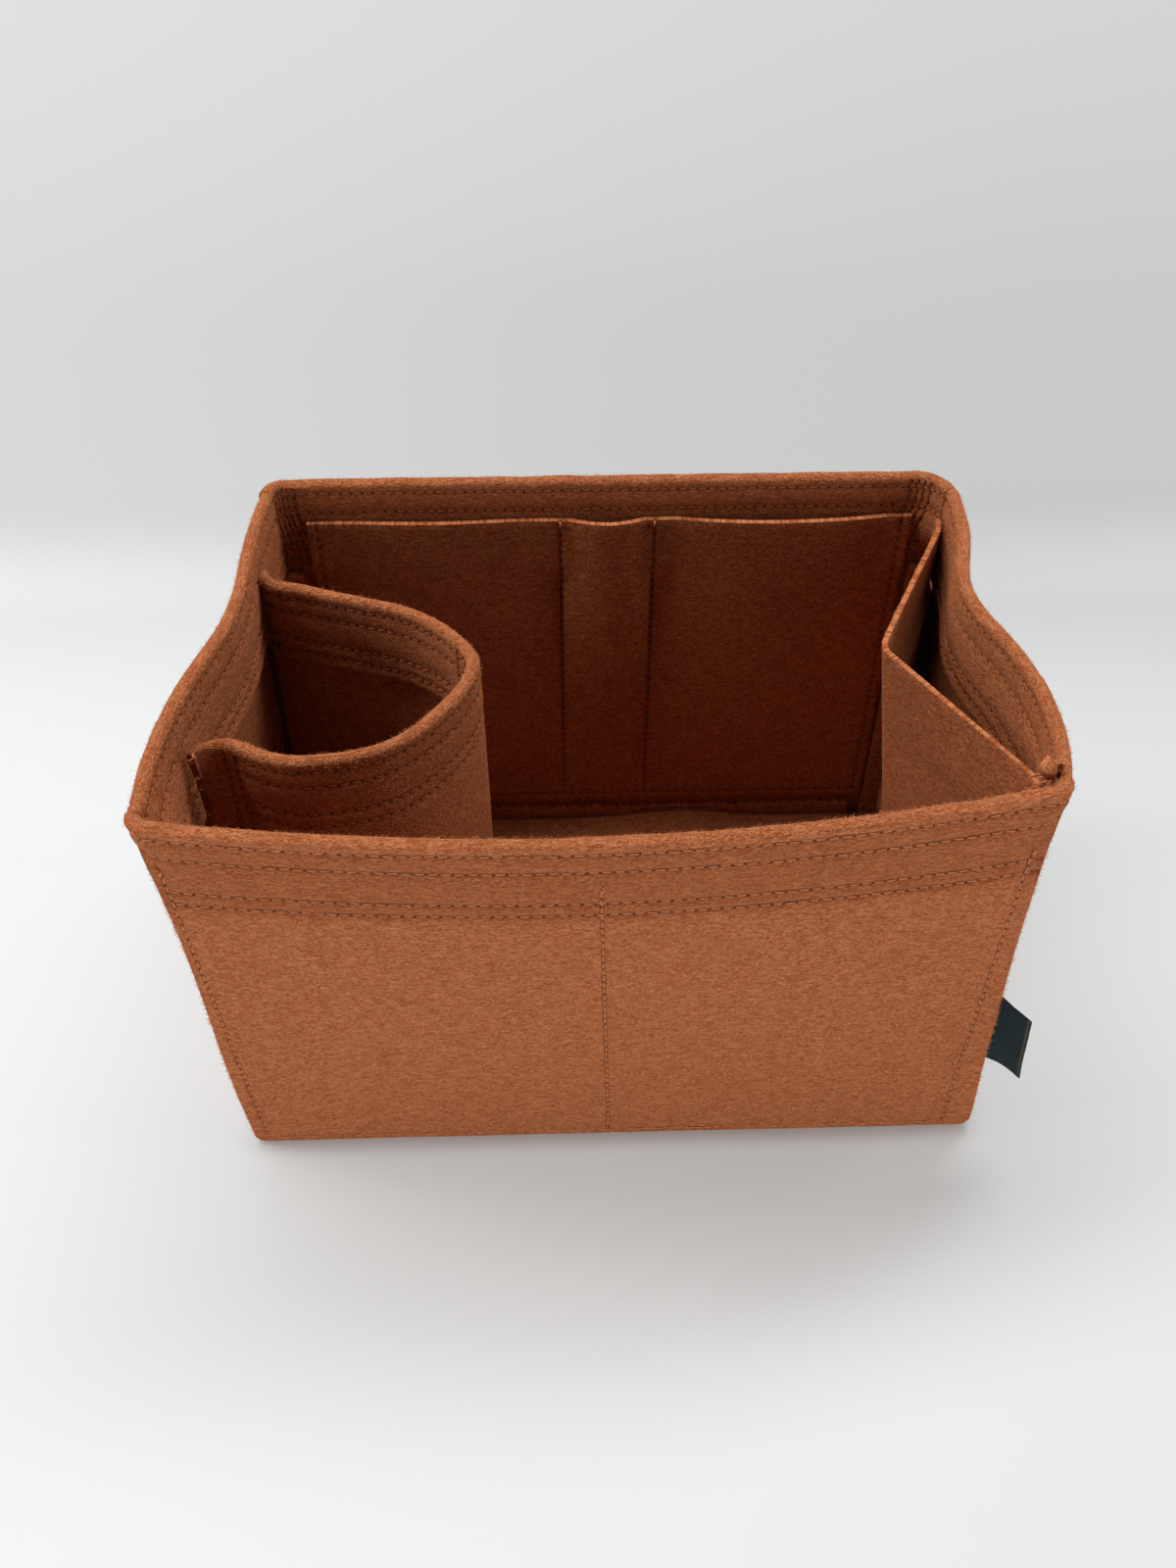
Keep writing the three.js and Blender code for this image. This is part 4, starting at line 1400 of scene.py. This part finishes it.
# Rows of stitches
for name, place, seams, thread, seed in (
    ("front_wall_stitches", front_place, FRONT_SEAMS, SEAM_THREAD, 21),
    ("back_wall_stitches", back_place, BACK_SEAMS, INNER_THREAD, 22),
    ("left_end_stitches", end_place(-1), END_SEAMS, INNER_THREAD, 23),
    ("right_end_stitches", end_place(1), END_SEAMS, INNER_THREAD, 24),
    ("holder_stitches", holder_place, HOLDER_SEAMS, INNER_THREAD, 25),
    ("end_pocket_stitches", end_pocket_place, END_POCKET_SEAMS, SEAM_THREAD, 26),
    ("back_pocket_stitches", back_pocket_place, BACK_POCKET_SEAMS, INNER_THREAD, 27),
    ("front_pocket_stitches", front_pocket_place, FRONT_POCKET_SEAMS, SEAM_THREAD, 28),
):
    thread_piece(name, stitch_rows(place, seams, seed), thread)

# Where rows begin and end: knots, and a forked start at the foot of the front divider
FRONT_KNOTS = [
    (row + aside, t, run_s, run_t)
    for row, aside, t, run_s, run_t in (
        (DIVIDER_ROW, 0, 166, 0.5, 2.2), (DIVIDER_ROW, -0.5, 167.6, 1.0, -1.3),
        (DIVIDER_ROW, 0.4, 168.4, -0.9, 0.8), (LEFT_ROW, 0, 167.5, 0.6, 2),
        (LEFT_ROW, 0.4, 169, -0.8, -1.2), (RIGHT_ROW, 0, 163, 0.5, 1.8), (RIGHT_ROW, 0.3, 164.6, -0.9, -1),
    )
]
DIVIDER_START = [
    (DIVIDER_ROW + aside, t, run_s, run_t)
    for aside, t, run_s, run_t in (
        (-0.1, 12, -0.5, -3.6), (-0.6, 8.4, -0.5, -3.4), (0.3, 12, 0.5, -3.6), (0.8, 8.4, 0.5, -3.4),
        (-1.2, 4.8, 2.4, 0.2),
    )
]
thread_piece("front_wall_knots", loops_of(front_place, FRONT_KNOTS, 31), SEAM_THREAD)
thread_piece("front_divider_start", loops_of(front_place, DIVIDER_START, 32), INNER_THREAD)
pocket_knots = loops_of(back_pocket_place, [
    (x + shift, BACK_POCKET_HIGH - drop, run, rise)
    for x in BACK_DIVIDERS
    for shift, drop, run, rise in ((-0.4, 2.2, 0.6, 1.7), (0.5, 1.2, -1.0, 0.6), (0.1, 3, 0.4, 1.4))
], 33)
thread_piece("back_pocket_knots", pocket_knots, SEAM_THREAD)


# Bar tacks
TACK_WIDTH = 0.21
HOLDER_TACK_DROPS = (0.5, 2, 3.2, 7.5, 9, 10.2, 13.5, 15, 16.2, 27)
END_POCKET_TACK_DROPS = (1, 2.6, 4.4, 6.2, 8.2)


def holder_tacks():
    """Loops over the holder's near raw end, from its outer face to the end wall."""
    dice = random.Random(41)
    strands = []
    for drop in HOLDER_TACK_DROPS:
        start, along_s, _, out = surface_at(holder_place, dice.uniform(1.8, 3.4), HOLDER_TOP - drop)
        end = holder_place(0.6, HOLDER_TOP - drop + dice.uniform(-1.5, 1)) - along_s * 0.9 - out * 1.4
        strands.append(loop_between(start, end, (out * 0.8 - along_s).normalized(), dice))
    return strands


def end_pocket_tacks():
    """Loops over the end pocket's raw edge at its front end, into the end wall's turned-in layer."""
    dice = random.Random(42)
    strands = []
    for drop in END_POCKET_TACK_DROPS:
        start = end_pocket_place(END_POCKET_CUT[1] - dice.uniform(3, 8), END_POCKET_TOP - drop)
        end = start + Vector((dice.uniform(3.5, 5), dice.uniform(-1.5, 0.5), 1.2 + drop * 0.8))
        strands.append(loop_between(start, end, Vector((-0.4, -0.5, 0.75)), dice))
    return strands


def ear():
    """The bunched, frayed end of the right turned-in layer."""
    bm = bmesh.new()
    cut_map = bm.loops.layers.uv.new("cut")
    bmesh.ops.create_icosphere(bm, subdivisions=4, radius=1)
    for vertex in bm.verts:
        out = vertex.co.copy()
        spot = Vector(axis * size for axis, size in zip(out, EAR_SIZE))
        lump = EAR_LUMP * noise.noise(spot / EAR_LUMP_SPREAD) + EAR_FRAY * noise.noise(spot / EAR_FRAY_SPREAD)
        vertex.co = (EAR_PLACE + spot + out * lump) * MM
    for face in bm.faces:
        face.smooth = True
        for loop in face.loops:
            loop[cut_map].uv = loop.vert.co.yz + loop.vert.co.xx
    dress(placed("right_facing_end", mesh_of("right_facing_end", bm)), WALL_FELT, "wall_felt")


def ear_tacks():
    """Loops round the bunched end, from its inner side over its top."""
    dice = random.Random(43)
    strands = []
    for turn in EAR_LOOPS:
        way = Vector((math.cos(math.radians(turn)), math.sin(math.radians(turn)), 0))
        beside = Vector((way.x * EAR_SIZE.x, way.y * EAR_SIZE.y, 0))
        start = EAR_PLACE + beside + Vector((0, 0, dice.uniform(-1.5, 0.5)))
        end = EAR_PLACE + beside * 0.4 + Vector((0, 0, EAR_SIZE.z))
        strands.append(loop_between(start, end, (way + Vector((0, 0, 1))).normalized(), dice))
    return strands


ear()
for name, strands in (("holder_tack", holder_tacks()), ("end_pocket_tack", end_pocket_tacks() + ear_tacks())):
    thread_piece(name, strands, TACK_THREAD, slot="pocket_felt", width=TACK_WIDTH)


# Loose fibres, along the rims, the raw edges and the faces that show most
CREST_BAND = (HEIGHT - FOLD - 2, HEIGHT + FOLD * 2.2)
HOLDER_BAND = (HOLDER_TOP - FOLD - 2, HOLDER_TOP + FOLD * 2.2)
INNER_BAND = (HEIGHT + FOLD, RIM_CUT[1] - 1)
RAW_BAND = (RIM_CUT[1] - 0.6, RIM_CUT[1])
HOLDER_RAW_BAND = [turned_in(row, HOLDER_TOP) for row in (HOLDER_FACING - 0.6, HOLDER_FACING)]

# How far fibres stand up, and lean along the cut and up it
STANDING = (0.6, 0, 0)
LYING = (0.2, 0, 0)
OVER_EDGE = (0.2, 0, 0.8)
OFF_FACING = (0.3, 0, 0.6)


def rim_zones(crest, inner, count):
    """Zones of a turned-in rim: over its crest, on the layer inside and off that layer's raw edge."""
    return [
        (crest, CREST_BAND, count, *STANDING), (inner, INNER_BAND, 300, *LYING),
        (inner, RAW_BAND, 300, *OFF_FACING),
    ]


for name, place, zones, slot, seed in (
    ("front_wall_fuzz", front_place, [
        (FRONT_CUT, CREST_BAND, 2200, *STANDING),
        ((0, 0.5), (4, 170), 500, 0.3, -0.7, 0),
        ((LENGTH - 0.5, LENGTH), (6, 170), 500, 0.3, 0.7, 0),
        ((4, LENGTH - 4), (0.3, 1.2), 200, 0.2, 0, -0.6),
        ((2, LENGTH - 2), (HEM_EDGE - 20, HEIGHT - FOLD), 700, 0.1, 0, 0),
    ], "wall_felt", 51),
    ("back_wall_fuzz", back_place, rim_zones(FRONT_CUT, (2, LENGTH - 2), 1400), "wall_felt", 52),
    ("left_end_fuzz", end_place(-1), rim_zones(END_FACING, END_FACING, 1300), "wall_felt", 53),
    ("right_end_fuzz", end_place(1), rim_zones(END_FACING, END_FACING, 1300), "wall_felt", 54),
    ("holder_fuzz", holder_place, [
        ((1, HOLDER_CUT_LENGTH - 6), HOLDER_BAND, 1200, *STANDING),
        ((10, HOLDER_CUT_LENGTH - 6), (90, HOLDER_TOP - 3), 300, *LYING),
        ((10, HOLDER_CUT_LENGTH - 6), HOLDER_RAW_BAND, 400, *OFF_FACING),
    ], "pocket_felt", 55),
    ("end_pocket_fuzz", end_pocket_place, [
        ((1, END_POCKET_CUT[1] - 1), (END_POCKET_TOP - 0.4, END_POCKET_TOP), 260, *OVER_EDGE),
        ((END_POCKET_CUT[1] * 0.4, END_POCKET_CUT[1] - 2), (90, END_POCKET_TOP - 1), 300, *LYING),
    ], "pocket_felt", 56),
    ("back_pocket_fuzz", back_pocket_place, [
        (BACK_POCKET_CUT, (BACK_POCKET_HIGH - 0.4, BACK_POCKET_HIGH), 350, *OVER_EDGE),
    ], "pocket_felt", 57),
):
    thread_piece(name, fuzz_of(place, zones, seed), LOOSE_FIBRE, slot=slot, width=FIBRE, roundness=0)


# Floor and backdrop, in metres
FLOOR_OWN_WHITE = 0.38
WALL_OWN_WHITE = 0.85
# How far out from the base's outline the painted contact shadow on the floor reaches
CONTACT_SHADE_REACH = 0.01
SWEEP_HALF_WIDTH = 3.0
SWEEP_FRONT = -2.5
SWEEP_BEND = 0.265
SWEEP_RADIUS = 0.07
SWEEP_TALL = 0.6
SWEEP_STEPS = 24


def sweep_finish():
    """Pale paper. The camera and reflections see part of its own white, so that its shadows stay light. That
    white carries painted light and shade: lighter on the left of the floor, a painted contact shadow round the
    base, and a darker backdrop.
    """
    paper = Finish("sweep_paper")
    place = paper.node("ShaderNodeTexCoord").outputs["Object"]
    grain = paper.value("ShaderNodeTexNoise", {}, {"Vector": place, "Scale": 1.5, "Detail": 2})
    parts = paper.node("ShaderNodeSeparateXYZ", {}, {0: place}).outputs
    x, y, height = (Value(paper, part) for part in parts)
    up = height.between(0.0, SWEEP_RADIUS * 0.8)
    # Painted contact shadow: near the base's outline the floor shows less of its own white
    beside = (abs(x) - LENGTH / 2 * MM).between(0.0, CONTACT_SHADE_REACH)
    before = (abs(y) - DEPTH / 2 * MM).between(0.0, CONTACT_SHADE_REACH)
    clear = 1 - (1 - beside) * (1 - before)
    floor_colour = paper.mix(grain, rgb(0.62, 0.633, 0.633), rgb(0.655, 0.663, 0.667))
    # Painted shade: the backdrop's paper gets a darker colour than the floor's
    colour = paper.mix(up, floor_colour, rgb(0.2, 0.202, 0.205))
    # Painted shade on the backdrop's own white: darker towards the right and low down
    wall_painted_shade = x.between(0.35, -0.5) * 0.6 + height.between(0.12, 0.36) * 0.4
    wall_white = paper.mix(wall_painted_shade, rgb(0.65, 0.66, 0.65), rgb(0.87, 0.875, 0.885))
    # Painted light and shade: the floor's own white is lighter on the left and darker on the right
    floor_white = paper.mix(x.between(-0.3, 0.3), rgb(0.92, 0.93, 0.925), rgb(0.72, 0.73, 0.725))
    white = paper.mix(up, floor_white, wall_white)
    lit = paper.principled(Base_Color=colour, Roughness=0.7)
    shown = paper.node("ShaderNodeEmission", {}, {"Color": white, "Strength": 1.0})
    ray = paper.node("ShaderNodeLightPath")
    seen = Value(paper, ray.outputs["Is Camera Ray"]) + Value(paper, ray.outputs["Is Glossy Ray"])
    seen = seen + Value(paper, ray.outputs["Is Transmission Ray"])
    # Less own white near the base paints the contact shadow
    own_white = (clear * 0.7 + 0.3) * FLOOR_OWN_WHITE + up * (WALL_OWN_WHITE - FLOOR_OWN_WHITE)
    both = paper.node("ShaderNodeMixShader", {}, {0: seen * own_white, 1: lit, 2: shown.outputs[0]})
    return paper.surface(both.outputs[0])


def sweep_mesh():
    """A line along the floor, round the bend and up, drawn out over the sweep's width."""
    bm = bmesh.new()
    left = -SWEEP_HALF_WIDTH
    floor = [bm.verts.new((left, y, 0)) for y in (SWEEP_FRONT, SWEEP_BEND)]
    bm.edges.new(floor)
    turned = bmesh.ops.spin(
        bm, geom=[floor[1]], cent=(left, SWEEP_BEND, SWEEP_RADIUS), axis=(1, 0, 0), angle=math.pi / 2,
        steps=SWEEP_STEPS,
    )
    last = turned["geom_last"][0]
    bm.edges.new((last, bm.verts.new(last.co + Vector((0, 0, SWEEP_TALL)))))
    swept = bmesh.ops.extrude_edge_only(bm, edges=bm.edges[:])
    moved = [item for item in swept["geom"] if isinstance(item, bmesh.types.BMVert)]
    bmesh.ops.translate(bm, vec=(-2 * left, 0, 0), verts=moved)
    bmesh.ops.recalc_face_normals(bm, faces=bm.faces[:])
    for face in bm.faces:
        face.smooth = True
    return mesh_of("sweep", bm)


sweep = placed("sweep", sweep_mesh())
sweep.data.materials.append(sweep_finish())


# Light
def soft_box(name, place, aim, size, power):
    data = bpy.data.lights.new(name, "AREA")
    data.shape = "RECTANGLE"
    data.size, data.size_y = size
    data.energy = power
    box = placed(name, data)
    box.location = place
    box.rotation_mode = "QUATERNION"
    box.rotation_quaternion = (Vector(aim) - Vector(place)).to_track_quat("-Z", "Y")


soft_box("overhead", (-0.12, 0.42, 1.6), (0, 0, 0.05), (2.4, 0.4), 35)
soft_box("left_side", (-1.5, 0.05, 1.0), (0, 0, 0.1), (0.8, 0.6), 11.8)
soft_box("right_side", (1.5, 0.05, 1.0), (0, 0, 0.1), (0.8, 0.6), 9.6)
soft_box("low_front", (0.0, -2.2, 0.22), (0, 0, 0.1), (2.6, 0.3), 36.5)

world = bpy.data.worlds.new("world")
bpy.context.scene.world = world
world.use_nodes = True
sky = world.node_tree.nodes["Background"].inputs
sky["Color"].default_value = rgb(0.96, 0.98, 1.0)
sky["Strength"].default_value = 0.09

bpy.context.scene.view_settings.view_transform = "Standard"
